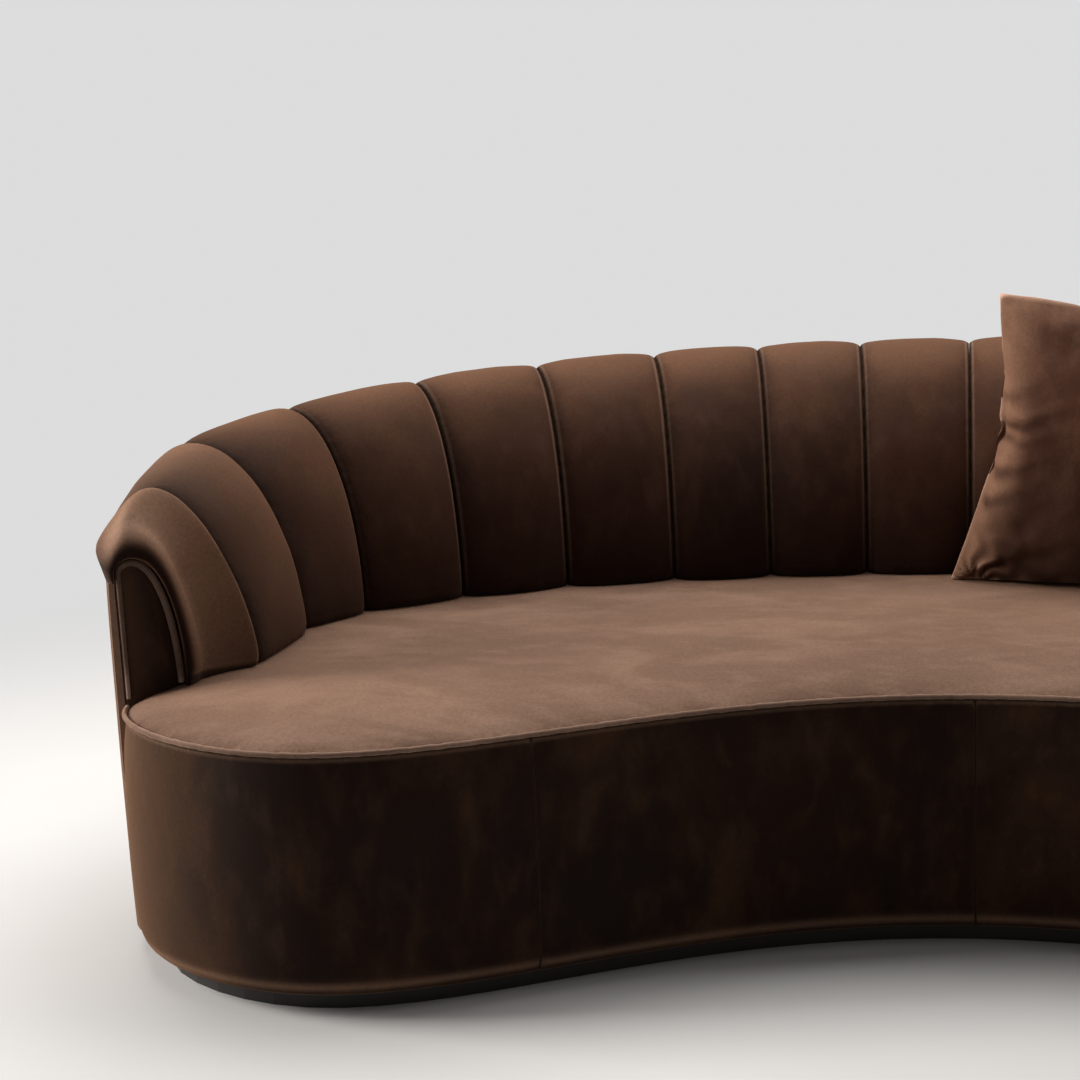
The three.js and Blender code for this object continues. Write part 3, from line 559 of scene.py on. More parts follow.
# The painted shade at the foot: how far it reaches up, and how much painted shade the first rows
# get where they meet the seat
FOOT_SHADE, FOOT_SEAM_SHADE = 230, [.95, .8, .6]
# The pale ridge beside a seam, from wear and a painted highlight: its strength, how far off it
# lies and its width
RIDGE_WEAR_AND_HIGHLIGHT, RIDGE_AWAY, RIDGE_WIDTH = .42, 5.5, 2.2
LIP_SIDES, LIP_PEAK = 18, 20
# How far over the roll each row is, and the share of the padding that the lip's face comes down
TOP_ROWS = np.interp(row_places, [0, 2.5, 4.5, 6.5, 8], [0, 0, 1, 1, .6])
LIP_DROP = lerp(.6, .86, TOP_ROWS)


def bulge(x):
    """A channel's swell over its width: 0 at both seams, 1 between."""
    return (1 - np.abs(2 * x - 1) ** 2.4) ** .8


def normals_of(rows):
    """Unit normals of a profile, that point out of the back."""
    run = unit(np.gradient(rows, axis=0))
    return np.stack([-run[:, 1], run[:, 0]], 1)


def plain_channel(index):
    """Shares across a channel, its swell, how it falls and closes there, how near the seams are
    and how deep in their shade it lies, which is deeper on the side towards the arm."""
    low, high = SEAMS[index:index + 2]
    slit = SEAM_GAP / 2 / back_line.length
    x = edge_dense(20)
    shares = lerp(low + slit, high - slit, x)
    sides = np.stack([shares - low, high - shares]) * back_line.length
    bend = max(index - FIRST_BENT, 0) / BENT_COUNT
    shade = np.maximum(np.exp(-sides[0] / 8), np.exp(-sides[1] / lerp(13, 24, min(bend, 1))))
    return dict(shares=shares, swell=bulge(x ** (1 - .38 * bend)), fall=0 * x, close=0 * x,
                near=sides.min(0), shade=shade)


def last_channel():
    """The same for the channel at the arm, a bolster that slopes over its front and closes."""
    run_up = (1 - LAST_SEAM) * back_line.length - SEAM_GAP / 2
    peak = -run_up + LIP_PEAK
    rise = edge_dense(12)[:9]
    rise = rise / rise[-1]
    turn = np.append(np.linspace(0, math.pi / 2, LIP_SIDES)[1:-1], math.pi / 2 * .985)
    ahead = np.concatenate([lerp(-run_up, peak, rise), lerp(peak, LIP_REACH, np.sin(turn))])
    swell = np.concatenate([np.sin(rise * math.pi / 2) ** .8, np.ones(len(turn))])
    fall = np.concatenate([np.zeros(len(rise)), 1 - np.cos(turn)])
    close = 1 - np.sqrt(1 - ramp(ahead, 0, LIP_REACH) ** 2)
    near = ahead + run_up + SEAM_GAP / 2
    return dict(shares=1 + ahead / back_line.length, swell=swell, fall=fall, close=close,
                near=near, shade=np.exp(-near / 10))


def channel_points(side, index, shares, swell, fall, close, near, **_):
    """A channel's closed sections: the rows outside, then the rows inside, downwards."""
    size = CHANNEL_SWELL * (1 + .06 * math.sin(index * 5.3 + side) + .1 * max(index - 6, 0))
    rings = []
    for k, share in enumerate(shares):
        outer = profile(skin_line(share), SEAT_TOP, slimness(share))
        inner = profile(lining_line(share), SEAT_TOP)
        thick = outer - inner
        dip = SEAM_DIP * math.exp(-near[k] / DIP_WIDTH)
        tuck = FOOT_TUCK * np.exp(-(outer[:, 1] - SEAT_TOP) / TUCK_FADE)
        tuck[UP_ROWS:] = 0
        drop = fall[k] ** lerp(1, .9, TOP_ROWS)
        lift = size * swell[k] * (1 - drop) * SWELL_ROWS - dip * DIP_ROWS - tuck
        outer = outer + normals_of(outer) * lift[:, None] - thick * (LIP_DROP * drop)[:, None]
        inner = inner + thick * ((.98 - LIP_DROP) * close[k])[:, None]
        rings.append(np.concatenate([outer, inner[::-1]]))
    points = sections(back_line, side * shares, rings)
    outside = points[:, :len(row_places)]
    soft = 2.0 * ripple(outside, 110, index + 11 * (side + 2))
    soft += .8 * ripple(outside, 36, index + 5)
    facing = unit(np.cross(*np.gradient(outside, axis=(0, 1))))
    calm = np.minimum(near / 25, 1) * (1 - fall)
    outside -= side * facing * (soft * calm[:, None])[..., None]
    for foot in (0, -1):
        points[:, foot, 2] = seat_top(points[:, foot, 0], points[:, foot, 1]) + STAND_CLEAR
    return points


def channel_marks(index, heights, shares, fall, near, shade, **_):
    """A channel's marks, at each point of its sections."""
    last = index == LAST_CHANNEL
    # The channel at the arm: painted shade where its lip turns under, and a painted highlight on
    # its sloping top. The others: painted shade on their side towards the arm
    if last:
        hidden, dim = ramp(fall, .55, .3), .93 * ramp(fall, .6, .3)
        pale = 1.2 * hump(fall, .34, .3)
    else:
        x, reach = np.linspace(0, 1, len(shares)), DIM_REACHES[index]
        hidden, dim = x ** 1.3, DIM_SHARES[index] * ramp(x, 1 - reach, reach * .8) ** 1.2
        pale = .5 * (1 - hidden)
    count = heights.shape[1]
    # Painted shade in the grooves by the seams, and along the foot where the channel meets the
    # seat
    seam = spread(shade, count)
    seam[:, :3] = np.maximum(seam[:, :3], FOOT_SEAM_SHADE)
    on_top = np.append(lerp(.3 if last else 0, 1, TOP_ROWS), 0 * TOP_ROWS)
    # Ridges beside the seams are paler from wear and a painted highlight, and the roll's top has
    # a painted highlight
    rim = np.maximum(spread(RIDGE_WEAR_AND_HIGHLIGHT * hump(near, RIDGE_AWAY, RIDGE_WIDTH), count),
                     (pale * slimness(shares))[:, None] * on_top)
    # Painted light on the channels near the arm, fading on the side towards the arm and under the
    # lip
    nap, dim = spread(PAINTED_LIGHT_SHARES[index] * (1 - hidden), count), spread(dim, count)
    if last:
        # Painted shade on the outside of the arm's roll
        outside = .85 * ramp(row_places, 6.1, .9)
        dim = np.maximum(dim, nose_share(shares)[:, None] ** 2 * np.append(outside, outside))
    # Painted shade at the foot, darker towards the seat
    foot = (1 - ramp(heights, SEAT_TOP, FOOT_SHADE)) ** 1.3
    dim = np.maximum(dim, (.35 if last else .75) * foot)
    # Behind the crest the channels differ less
    behind = np.append(ramp(row_places, 5.4, 1.2), 0 * row_places)
    return dict(seam=seam, rim=rim * (1 - .65 * behind), nap=lerp(nap, .25, .7 * behind),
                dim=dim * (1 - (0 if last else .6) * behind))


def channel_piece(side, side_name, index):
    form = last_channel() if index == LAST_CHANNEL else plain_channel(index)
    points = channel_points(side, index, **form)
    node = f"channel_{side_name}_{index + 1}"
    return build(f"padded_{node}", points, velvets["channel"], [node],
                 **channel_marks(index, points[..., 2], **form))


for side, side_name in SIDES:
    for index in range(len(SEAMS)):
        channel_piece(side, side_name, index)

# ----------
# Seat: a crowned cushion, its piping and the foam and straps inside
COVER_LOW = SEAT_HEIGHT - 10
PIPING_RADIUS, CORD_SIDES = 4.2, 12
# The cover's lower rows, inwards from the front edge and up, and where its top starts
COVER_EDGE = [(11.5, COVER_LOW + .2), (9.8, COVER_LOW + 1), (9.2, COVER_LOW + 2.2)]
TOP_INSET, EDGE_INSET = 10.0, 9
EDGE_FALL, EDGE_FADE = 9.5, 18
SINK, CALM_EDGE = .6, 60
ARM_CLEAR = 2


def seat_stations(places):
    """For places from -24 to 24 along the seat: its front share, back share and back reach."""
    i = np.abs(places)
    front = np.minimum(np.where(i > 23, lerp(23, 24 * FRONT_END, i - 23), i) / FRONT_STEPS,
                       FRONT_END)
    arm = 1 + 2 * GAP / back_line.length
    share = np.interp(i, [0, 20, 21, 22, 24], [0, LAST_SEAM, .993, arm, arm])
    round_arm = np.interp(i, [21, 22, 23, 24], [
        -lining_line(.993)["inner"] - ARM_CLEAR, PADDING_NOSE - INNER_NOSE - ARM_CLEAR,
        .1 * FRONT_START_REACH, .7 * FRONT_START_REACH])
    reach = np.where(i <= 21, -lining_line(share)["inner"] - ARM_CLEAR, round_arm)
    return np.sign(places) * front, np.sign(places) * share, reach


def seat_cushion():
    places = np.linspace(-FRONT_STEPS, FRONT_STEPS, FRONT_STEPS * 8 + 1)
    front, share, reach = seat_stations(places)
    rim = np.array(front_line.place(front, TOP_INSET))
    back = np.array(back_line.place(share, reach))
    rows = [at_height(front_line.place(front, inset), z) for inset, z in COVER_EDGE]
    depth = np.concatenate([[0, .004, .01, .02, .035], np.linspace(.055, 1, 34) ** 1.15])
    for d in depth:
        place = lerp(rim, back, d)
        away = np.maximum(edge_distance(*place) - EDGE_INSET, 0)
        rows.append(at_height(place, seat_top(*place) - EDGE_FALL * np.exp(-away / EDGE_FADE)))
    rows = np.array(rows)
    top = rows[len(COVER_EDGE):]
    calm = np.minimum(edge_distance(top[..., 0], top[..., 1]) / CALM_EDGE, 1)
    calm = calm * spread(np.clip((1 - depth) / .12, 0, 1), len(places))
    waves = 2.6 * ripple(top * [.6, 1, 1], 170, 3) + 1.0 * ripple(top, 60, 9) - SINK
    top[..., 2] += waves * calm
    under = at_height(back, COVER_LOW)
    below = lerp(under, rows[0], .5)
    points = np.transpose(np.concatenate([rows, [under, below]]), (1, 0, 2))
    # Painted shade along the front edge, where the top rolls down to the piping, and painted
    # shade in the middle and near the arms
    away = np.maximum(edge_distance(points[..., 0], points[..., 1]) - EDGE_INSET, 0)
    aside = np.abs(points[..., 0])
    dim = .18 * (1 - ramp(aside, 0, 800)) ** .7 + .2 * ramp(aside, 800, 300)
    return build("crowned_seat", points, velvets["seat"], ["seat_cushion"],
                 seam=.86 * np.exp(-away / 13), dim=dim)


def tube(name, path, forward, radius, material, nodes):
    """A cord along a path, with rings that stand square to it."""
    run = unit(np.gradient(path, axis=0))
    a = unit(np.cross(run, forward))
    b = np.cross(a, run)
    turn = 2 * math.pi * np.arange(CORD_SIDES) / CORD_SIDES
    radius = np.broadcast_to(radius, len(path))[:, None, None]
    rings = path[:, None] + radius * (np.cos(turn)[None, :, None] * a[:, None]
                                      + np.sin(turn)[None, :, None] * b[:, None])
    return build(name, rings, material, nodes)


def seat_welt():
    """The piping along the seat's front edge, sewn in with a slight wave."""
    shares = np.linspace(-FRONT_END, FRONT_END, 421)
    wave = .5 * np.sin(shares * 310) * np.sin(shares * 77)
    path = at_height(front_line.place(shares, EDGE_INSET - GAP - PIPING_RADIUS),
                     COVER_LOW + PIPING_RADIUS + wave)
    return tube("seat_welt", path, np.array([0, 0, 1.0]), PIPING_RADIUS, velvets["cord"],
                ["seat_piping"])


def copied(name, node, material, slot, bevel):
    """A piece with a CAD node's own shape, that stands for it, its edges rounded if a bevel is
    given.
    """
    source = frame["nodes"][node].data
    points = np.array([v.co for v in source.vertices])
    keys, first = {}, []
    for p in np.round(points * 1e5).astype(int).tolist():
        first.append(keys.setdefault(tuple(p), len(keys)))
    merged = np.zeros((len(keys), 3))
    merged[first] = points
    faces = [[first[v] for v in p.vertices] for p in source.polygons]
    piece = build(name, merged, material, [node], slot, faces, in_metres=True)
    if bevel:
        modifier = piece.modifiers.new("rounded", "BEVEL")
        modifier.width, modifier.segments, modifier.limit_method = bevel, 3, "ANGLE"
    return piece


seat_cushion()
seat_welt()
copied("foam_slab", "seat_foam", foam(), "foam", .006)
copied("seat_straps", "seat_webbing", woven("strap_weave", (38, 37, 34), (92, 88, 78), 260.0),
       "webbing", 0)

# ----------
# Border: four padded panels round the front
BORDER, BULGE, BORDER_ROWS = 26, 4, 26
BORDER_TOP = COVER_LOW - GAP
# The panel's side: inwards, as shares of BORDER or below 0 of BULGE, and up
SIDE_SHARES = [(.8, 0), (.42, .025), (.16, .07), (0, .15), (-1, .36), (-1, .66), (0, .9), (.3, 1)]
SIDE_PLACES = [(a * (BULGE if a < 0 else BORDER), b) for a, b in SIDE_SHARES]
BORDER_TUCK, BORDER_SEAM_WIDTH = 2.6, 4


def smooth_rows(values, count, rounds):
    """A polyline of pairs, resampled to count and softened, its ends kept."""
    t = np.linspace(0, len(values) - 1, count)
    line = np.stack([np.interp(t, range(len(values)), column) for column in zip(*values)], 1)
    for _ in range(rounds):
        line[1:-1] = (line[:-2] + 2 * line[1:-1] + line[2:]) / 4
    return line


def panel_shares(line, start, end, steps_per_share, least):
    """Shares across a panel, and how near its ends they are in millimetres."""
    shares = lerp(start, end, edge_dense(int(steps_per_share * (end - start)) + least))
    return shares, np.minimum(shares - start, end - shares) * line.length


def border_piece(name, start, end):
    shares, near = panel_shares(front_line, start, end, 160, 12)
    across, up = smooth_rows(SIDE_PLACES, BORDER_ROWS, 3).T
    z = BASE_LOW + up * (BORDER_TOP - BASE_LOW)
    z, back = np.append(z, z[::-1]), np.full(BORDER_ROWS, BORDER)
    points = sections(front_line, shares, [
        np.stack([np.append(across + tuck, back), z], 1)
        for tuck in BORDER_TUCK * np.exp(-near / BORDER_SEAM_WIDTH)])
    face = points[:, :BORDER_ROWS]
    gathers = 1.2 * ripple(face * [1, 1, .12], 15, 4) * np.exp(-(1 - up) / .05)
    soft = 1.8 * ripple(face, 150, 8) * np.sin(np.clip(up, 0, 1) * math.pi) + gathers
    face += unit(([0, 200, 0] - face) * [1, 1, 0]) * soft[..., None]
    z = points[..., 2]
    # Painted shade at the seams and under the top edge, a paler band along the lower edge, and
    # painted light towards both ends
    seam = np.maximum(np.exp(-near / BORDER_SEAM_WIDTH)[:, None],
                      np.exp(-np.maximum(BORDER_TOP - z, 0) / 9))
    nap = .9 * ramp(np.abs(shares), .7, .27) ** 2
    return build(f"padded_{name}", points, velvets["border"], [name], seam=seam,
                 rim=.6 * hump(z, BASE_LOW + 16, 7), nap=spread(nap, points.shape[1]))


SLIT = SEAM_GAP / 2 / front_line.length
SEAM = 11 / FRONT_STEPS
for name, start, end in (
    ("border_left", -FRONT_END, -SEAM - SLIT), ("border_middle_left", -SEAM + SLIT, -SLIT),
    ("border_middle_right", SLIT, SEAM - SLIT), ("border_right", SEAM + SLIT, FRONT_END),
):
    border_piece(name, start, end)

# ----------
# Outside back: three padded panels
SIDE_SEAM = SEAMS[6]
BACK_SLIT = SEAM_GAP / 2 / back_line.length
PANEL_BULGE, PANEL_TUCK, PANEL_SEAM_WIDTH = 3, 3.5, 5
HEM_DEPTH, HEM_HEIGHT = 10, 12


def outside_piece(name, start, end):
    shares, near = panel_shares(back_line, start, end, 120, 10)
    up = edge_dense(28)
    rings = []
    for share, tuck in zip(shares, PANEL_TUCK * np.exp(-near / PANEL_SEAM_WIDTH)):
        z = lerp(BASE_LOW, skin_line(share)["end"] - GAP, up)
        hem = HEM_DEPTH * (1 - np.sqrt(1 - (1 - ramp(z, BASE_LOW, HEM_HEIGHT)) ** 2))
        face = outer_face(share, z)
        out = face + PANEL_BULGE * np.sin(math.pi * up) ** .6 - tuck - hem
        wall = face - OUTSIDE_BACK
        rings.append(np.stack([np.append(out, wall[::-1]), np.append(z, z[::-1])], 1))
    points = sections(back_line, shares, rings)
    count = points.shape[1]
    face = points[:, :count // 2]
    soft = 1.6 * ripple(face, 160, 21) * np.sin(math.pi * up)
    face += unit((face - [0, -300, 0]) * [1, 1, 0]) * soft[..., None]
    # Painted shade at the seams, and painted light at the arm's end
    seam = np.exp(-near / 9) * (np.abs(shares) < .95)
    return build(f"padded_{name}", points, velvets["outside"], [name], seam=spread(seam, count),
                 nap=spread(ramp(np.abs(shares), .96, .03), count))


for name, start, end in (
    ("outside_back_left", -1, -SIDE_SEAM - BACK_SLIT),
    ("outside_back_middle", -SIDE_SEAM + BACK_SLIT, SIDE_SEAM - BACK_SLIT),
    ("outside_back_right", SIDE_SEAM + BACK_SLIT, 1),
):
    outside_piece(name, start, end)

# ----------
# Arm fronts: a slightly crowned panel under the lip, with its piping
PANEL_CLEAR, PANEL_MIDDLE = .6, 480
# The panel's rings: how large each is, and how far ahead of the arm's end it lies
PANEL_RINGS = [(1, -FACING_PANEL), (1, -2.5), (.985, -.6), (.94, .8), (.84, 2.6), (.68, 4.6),
               (.48, 6.2), (.28, 7.1), (.1, 7.5)]
ARM_PIPING, WALL_ROWS = 5.5, 14
ARM_END = np.array(1.0)


def arm_front(side, side_name):
    rows = profile(lining_line(ARM_END, PANEL_CLEAR), WEBBING_LOW)[:-TUCK_ROWS]
    wall_z = np.linspace(rows[-1, 1], WEBBING_LOW, 16)[1:]
    wall = outer_face(ARM_END, wall_z) - OUTSIDE_BACK - 2 * GAP
    foot = np.linspace(wall[-1], rows[0, 0], 8)[1:-1]
    outline = np.concatenate([
        rows, np.stack([wall, wall_z], 1),
        np.stack([foot, np.full_like(foot, WEBBING_LOW)], 1),
    ])
    centre = np.array([(outline[:, 0].max() + outline[:, 0].min()) / 2, PANEL_MIDDLE])
    scales, ahead = np.array(PANEL_RINGS).T
    points = sections(back_line, side * (1 + ahead / back_line.length),
                      centre + (outline - centre) * scales[:, None, None])
    # Painted light on the panel's outer side
    across = np.abs(points[..., 0])
    outwards = (across - across.min()) / (across.max() - across.min())
    return build(f"padded_arm_front_{side_name}", points, velvets["facing"],
                 [f"arm_front_{side_name}"], nap=.8 * ramp(outwards, .35, .5))


def arm_welt(side, side_name):
    """The piping round an arm's front, which stands on the seat and thins on the way down."""
    margin = ARM_PIPING + PANEL_CLEAR
    rows = profile(lining_line(ARM_END, margin), SEAT_HEIGHT)[:-TUCK_ROWS]
    low = outer_face(ARM_END, SEAT_TOP) - OUTSIDE_BACK - GAP - margin
    wall = lerp(rows[-1], np.array([low, SEAT_TOP]), np.linspace(0, 1, WALL_ROWS)[1:, None])
    line = np.concatenate([rows, wall])
    share = side * (1 + (ARM_PIPING + GAP) / back_line.length)
    path = at_height(back_line.place(share, line[:, 0]), line[:, 1])
    floor = seat_top(path[:, 0], path[:, 1]) + ARM_PIPING + GAP
    path = path[path[:, 2] > floor - 6]
    for end in (0, -1):
        path[end, 2] = seat_top(path[end, 0], path[end, 1]) + ARM_PIPING + GAP
    ahead = np.subtract(back_line.place(share, 0.0), back_line.place(side, 0.0))
    slim = np.interp(np.linspace(0, 1, len(path)), [0, .55, .75, 1], [1, 1, .72, .6])
    return tube(f"arm_welt_{side_name}", path, np.append(unit(ahead), 0), ARM_PIPING * slim,
                velvets["arm_cord"], [f"arm_piping_{side_name}"])


for side, side_name in SIDES:
    arm_front(side, side_name)
    arm_welt(side, side_name)

# ----------
# Dust cover: a thin cloth, stapled under the frame
dust = copied("dust_cloth", "dust_cover", woven("dust_weave", (14, 14, 14), (38, 38, 38), 420.0),
              "dust_cloth", 0)

# ----------
# Throw pillow
PILLOW_SIDE, PILLOW_FRONT, PILLOW_BACK, PILLOW_SAG = 512, 108, 30, 42
PILLOW_PINCH, PILLOW_SPLAY, PILLOW_SLUMP = .165, .07, .08
PILLOW_SQUAT, PILLOW_DROOP = .965, .12
PILLOW_LEAN, PILLOW_TURN = math.radians(10), math.radians(-7)
PILLOW_X, PILLOW_DEPTH, PILLOW_RISE = 262, 37, .6
PILLOW_HALF = PILLOW_SIDE / 2
PILLOW_CELLS = 48
CLOTH_FRAMES = 22
CLOTH = dict(quality=8, mass=.3, tension_stiffness=80, compression_stiffness=40,
             shear_stiffness=5, bending_stiffness=.2, use_pressure=True,
             uniform_pressure_force=2.0)
# The channels that the pillow leans on. In metres: how far off it stays, how far away they are
# looked for and the most that a point moves at once
BACKING = ("left_1", "right_1", "right_2", "right_3")
BACKING_CLEAR, BACKING_REACH, MOST_PUSH, PUSH_ROUNDS = .0012, .07, .03, 2
# Folds, in millimetres from the pillow's middle: across and up where each starts and ends, then
# its depth and width
FOLDS = [
    (-214, 30, -110, 70, 11, 10), (-218, 4, -134, 26, 8, 8), (-228, -48, -146, -16, 8, 9),
    (-238, -100, -176, -70, 7, 9), (-214, 78, -150, 112, 6, 9), (-222, -24, -170, -6, 6, 6),
    (218, 40, 126, 72, 6, 10), (228, -70, 156, -40, 6, 10),
    (-60, 222, -84, 150, 4, 12), (70, 224, 96, 150, 4, 12),
]
# Corners: across, up, how deep the cloth is gathered there and how far that reaches
GATHERS = [(-256, -256, 8, 52), (256, -256, 7, 46), (-256, 256, 5, 34), (256, 256, 5, 34)]
# Where folds push the left edge out and in: the height, width and depth, and how far inwards
NOTCHES, NOTCH_REACH = [(14, 11, 6), (-12, 16, -5)], 26


def flat_cover():
    """Two flat squares, sewn along their edges, in metres."""
    index, points, faces = {}, [], []
    half = PILLOW_HALF / 1000

    def corner(i, j, way):
        on_edge = i in (0, PILLOW_CELLS) or j in (0, PILLOW_CELLS)
        key = (i, j, 0 if on_edge else way)
        if key not in index:
            index[key] = len(points)
            u, v = 2 * i / PILLOW_CELLS - 1, 2 * j / PILLOW_CELLS - 1
            lift = .002 + .0008 * noise.noise(Vector((u * 4, v * 4, way * 5)))
            points.append((half * u, key[2] * lift, half * v))
        return index[key]

    for i in range(PILLOW_CELLS):
        for j in range(PILLOW_CELLS):
            for way in (-1, 1):
                face = [corner(i + k, j + n, way) for k, n in ((0, 0), (1, 0), (1, 1), (0, 1))]
                faces.append(face if way < 0 else face[::-1])
    return points, faces


def blown_cover():
    cover = mesh_object("cover", *flat_cover())
    cloth = cover.modifiers.new("cloth", "CLOTH")
    cloth.point_cache.frame_end = CLOTH_FRAMES
    for key, value in CLOTH.items():
        setattr(cloth.settings, key, value)
    cloth.settings.effector_weights.gravity = 0
    cover.modifiers.new("finer", "SUBSURF").levels = 1
    states = []
    for last in (1, CLOTH_FRAMES):
        for step in range(1, last + 1):
            scene.frame_set(step)
        result = cover.evaluated_get(bpy.context.evaluated_depsgraph_get()).to_mesh()
        states.append(np.array([v.co for v in result.vertices]) * 1000)
    faces = [list(f.vertices) for f in result.polygons]
    scene.frame_set(1)
    bpy.data.objects.remove(cover)
    return *states, faces


def folded(x, z):
    """How far folds and gathered corners lift the cloth."""
    lift = np.zeros_like(x)
    for x0, z0, x1, z1, depth, width in FOLDS:
        length = math.hypot(x1 - x0, z1 - z0)
        dx, dz = (x1 - x0) / length, (z1 - z0) / length
        along = (x - x0) * dx + (z - z0) * dz
        off = (-(x - x0) * dz + (z - z0) * dx) / width
        fade = np.exp(-np.maximum(along, 0) / (length * .45)) * np.clip(along / 12 + 1, 0, 1)
        lift += depth * fade * off * np.exp(.5 - off ** 2 / 2)
    for cx, cz, depth, reach in GATHERS:
        off_x, off_z = x - cx, z - cz
        away = np.hypot(off_x, off_z)
        turn = np.arctan2(off_z * np.sign(-cz), off_x * np.sign(-cx))
        lift += (depth * np.sin(turn * 13 + 1.2 * np.sin(away / 9)) * np.exp(-away / reach)
                 * np.clip(away / 18, 0, 1))
    return lift


def push_out(points, solids):
    """Moves points, in metres, that lie inside or close to solids forwards, out of them."""
    now = bpy.context.evaluated_depsgraph_get()
    trees = [bvhtree.BVHTree.FromObject(solid, now) for solid in solids]
    for tree in trees * PUSH_ROUNDS:
        for k, point in enumerate(points):
            hit, normal, _, _ = tree.find_nearest(Vector(point), BACKING_REACH)
            if hit is None:
                continue
            depth = BACKING_CLEAR - (Vector(point) - hit).dot(normal)
            if depth > 0:
                points[k, 1] -= min(depth / max(-normal.y, .35), MOST_PUSH)
    return points


def pillow():
    flat, blown, faces = blown_cover()
    u0, v0 = flat[:, 0] / PILLOW_HALF, flat[:, 2] / PILLOW_HALF
    way = np.sign(np.round(flat[:, 1], 3))
    # The simulated cover, stretched back to a square with full corners
    corner = np.abs(blown[:, [0, 2]]).max(0)
    pinch = 1 - np.abs(blown[(np.abs(v0) < .02) & (u0 < -.98), 0]).mean() / corner[0]
    u = blown[:, 0] / corner[0] / (1 - pinch * (1 - v0 ** 2))
    v = blown[:, 2] / corner[1] / (1 - pinch * (1 - u0 ** 2))
    full = np.abs(blown[:, 1]) / np.abs(blown[:, 1]).max()
    x = PILLOW_HALF * u * (1 - PILLOW_PINCH * (1 - v ** 2))
    x = x * (1 - PILLOW_SPLAY * v) + PILLOW_SLUMP * PILLOW_HALF * v
    z = PILLOW_HALF * v * np.where(v > 0, PILLOW_SQUAT * (1 - PILLOW_DROOP * (1 - u ** 2)), 1)
    edge = PILLOW_HALF * (1 - np.maximum(np.abs(u0), np.abs(v0)))
    lift = folded(x, z) * np.clip(edge / 32, .08, 1)
    y = np.where(way > 0, PILLOW_BACK, -PILLOW_FRONT) * full * np.abs(way)
    y = y - np.where(way > 0, 0, lift)
    notch = sum(depth * hump(z, height, width) for height, width, depth in NOTCHES)
    x = x + notch * np.exp(-PILLOW_HALF * (1 + u0) / NOTCH_REACH)
    z = np.where(way > 0, z, np.maximum(z - PILLOW_SAG * full, -PILLOW_HALF))
    turn = Matrix.Rotation(PILLOW_TURN, 3, "Z") @ Matrix.Rotation(-PILLOW_LEAN, 3, "X")
    placed = np.stack([x, y, z], -1) @ np.array(turn).T
    low = SEAT_TOP + PILLOW_RISE
    placed += [PILLOW_X, -PILLOW_DEPTH, low + PILLOW_HALF * math.cos(PILLOW_LEAN)]
    placed[:, 2] = np.maximum(placed[:, 2], low)
    placed = push_out((placed + [0, SHIFT, 0]) / 1000,
                      [bpy.data.objects[f"padded_channel_{name}"] for name in BACKING])
    # Painted light on the left strip, by the bottom-left corner and on the folds' ridges; painted
    # shade towards the bottom and in the folds' hollows; paler along the sewn edge
    tuft = np.exp(-np.hypot(u0 + 1, v0 + 1) * PILLOW_HALF / 55)
    strip = .85 * ramp(-u0, .6, .25)
    crease = lift * np.clip(edge / 18, 0, 1)
    nap = np.clip(np.maximum(strip, tuft) + crease / 14, 0, .9)
    dim = np.clip(.75 * ramp(-z, 40, 200) * (1 - nap) - crease / 12, 0, .85)
    return build("velvet_pillow", placed, velvets["pillow"], ["throw_pillow"], "pillow_velvet",
                 faces, "throw_pillow", crease=80, in_metres=True,
                 rim=.75 * hump(edge, 0, 5), nap=nap, dim=dim)


pillow()

# ----------
# Floor, light and camera
BACKGROUND, WORLD_LIGHT = (.72, .72, .72, 1), .17
FLOOR_RADIUS, FLOOR_SIDES = 60, 96
# The floor fades to the background's colour between these distances from the middle
FADE_START, FADE_END = 1.6, 3.2
# Lamps: place, aim, size, watts and colour
LAMPS = {
    "overhead": ((-.2, .7, 2.9), (0, -.2, .4), (4.4, 2.0), 112, (1, .985, .96)),
    "left_side": ((-5.2, -.5, 1.9), (-1.1, -.2, .4), (1.8, 2.2), 290, (1, .97, .94)),
    "right_side": ((5.2, .3, 2.6), (-.8, 0, .6), (2.0, 2.0), 60, (1, .975, .95)),
}
# The photograph's camera: its focal length and width in pixels, its angles in degrees
CAMERA = dict(focal=2418, width=1080, place=(-.038, -3.93, 1.4216), yaw=8.29, pitch=11.89,
              roll=-1.97, shift=.06)
SENSOR = 36


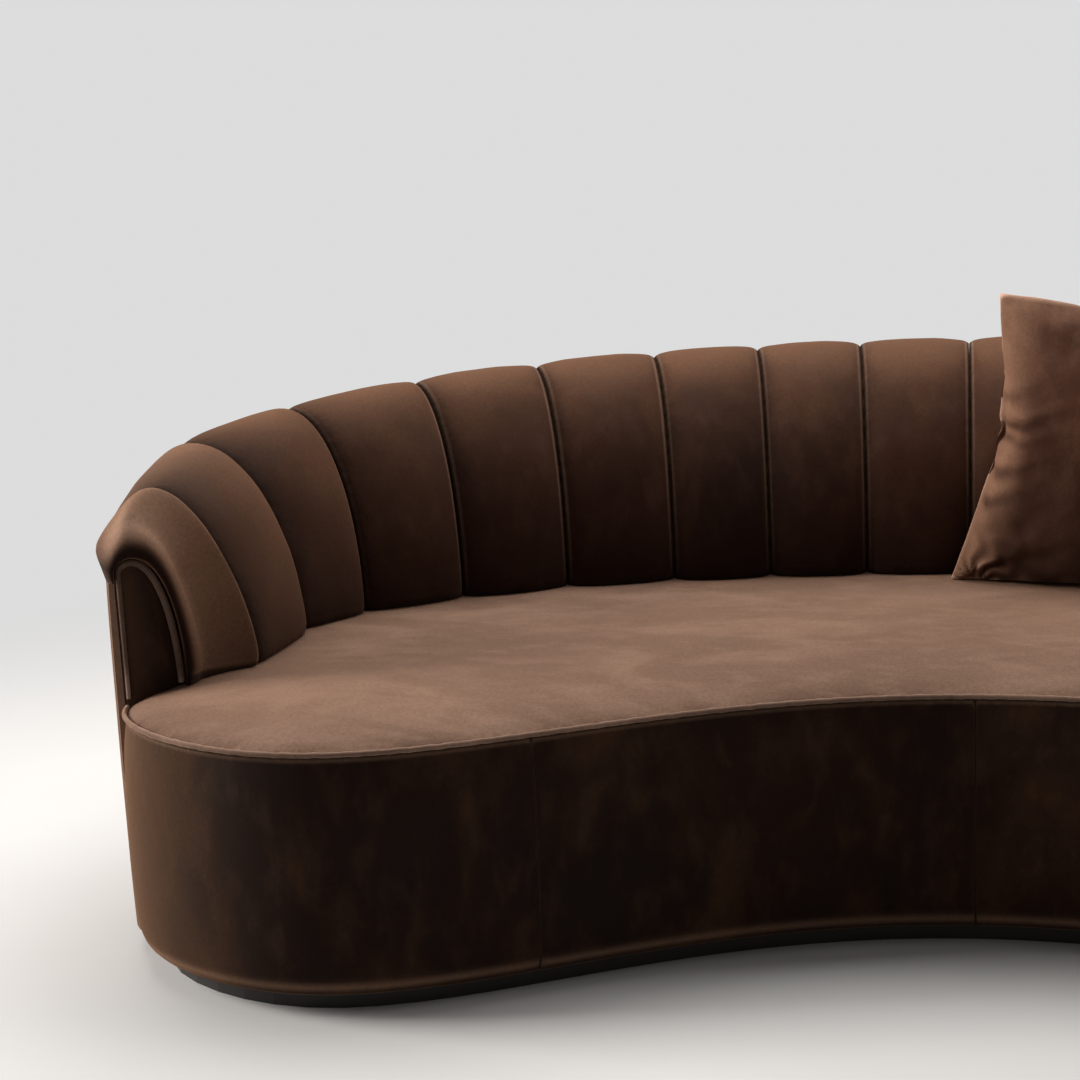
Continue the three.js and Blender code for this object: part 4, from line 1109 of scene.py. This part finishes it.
def floor_material():
    n = Nodes("floor")
    n.surface(Base_Color=n.mix(n.noise(3, 4, .6), [.62, .61, .6, 1], [.66, .65, .64, 1]),
              Roughness=.85, Specular_IOR_Level=.2)
    away = n.add("ShaderNodeVectorMath", {0: n.place}, operation="LENGTH").outputs["Value"]
    path = n.add("ShaderNodeLightPath").outputs
    seen = n.math("MAXIMUM", path["Is Camera Ray"], path["Is Glossy Ray"])
    share = n.math("MULTIPLY", n.span(away, FADE_START, FADE_END), seen)
    pale = n.add("ShaderNodeEmission", {"Color": BACKGROUND, "Strength": 1.0})
    return n.show(share, n.tree.nodes["Principled BSDF"], pale)


def make_floor():
    turn = [2 * math.pi * k / FLOOR_SIDES for k in range(FLOOR_SIDES)]
    points = [(FLOOR_RADIUS * math.cos(t), FLOOR_RADIUS * math.sin(t), 0) for t in turn]
    floor = mesh_object("floor", points, [list(range(FLOOR_SIDES))])
    floor.data.materials.append(floor_material())


def make_world():
    """A faint warm light all round, and a pale background where the camera sees it."""
    n = Nodes("studio", bpy.data.worlds)
    light = n.add("ShaderNodeBackground", {"Color": (1, .98, .96, 1), "Strength": WORLD_LIGHT})
    pale = n.add("ShaderNodeBackground", {"Color": BACKGROUND})
    path = n.add("ShaderNodeLightPath").outputs
    seen = n.math("MAXIMUM", path["Is Camera Ray"], path["Is Transmission Ray"])
    scene.world = n.show(seen, light, pale)


def make_lamp(name, place, aim, size, watts, colour):
    data = bpy.data.lights.new(name, "AREA")
    data.shape, data.size, data.size_y = "RECTANGLE", *size
    data.energy, data.color = watts, colour
    lamp = linked(name, data)
    lamp.location = place
    lamp.rotation_euler = (Vector(aim) - Vector(place)).to_track_quat("-Z", "Y").to_euler()


def make_camera():
    data = bpy.data.cameras.new("camera")
    data.sensor_width = SENSOR
    data.lens = CAMERA["focal"] / CAMERA["width"] * SENSOR
    data.shift_x = -CAMERA["shift"]
    data.clip_end = 200
    yaw, pitch, roll = (math.radians(CAMERA[k]) for k in ("yaw", "pitch", "roll"))
    turn = (Matrix.Rotation(yaw, 4, "Z") @ Matrix.Rotation(math.pi / 2 - pitch, 4, "X")
            @ Matrix.Rotation(roll, 4, "Z"))
    scene.camera = linked("camera", data)
    scene.camera.matrix_world = Matrix.Translation(CAMERA["place"]) @ turn


make_floor()
make_world()
for name, values in LAMPS.items():
    make_lamp(name, *values)
make_camera()
scene.view_settings.view_transform = "Standard"
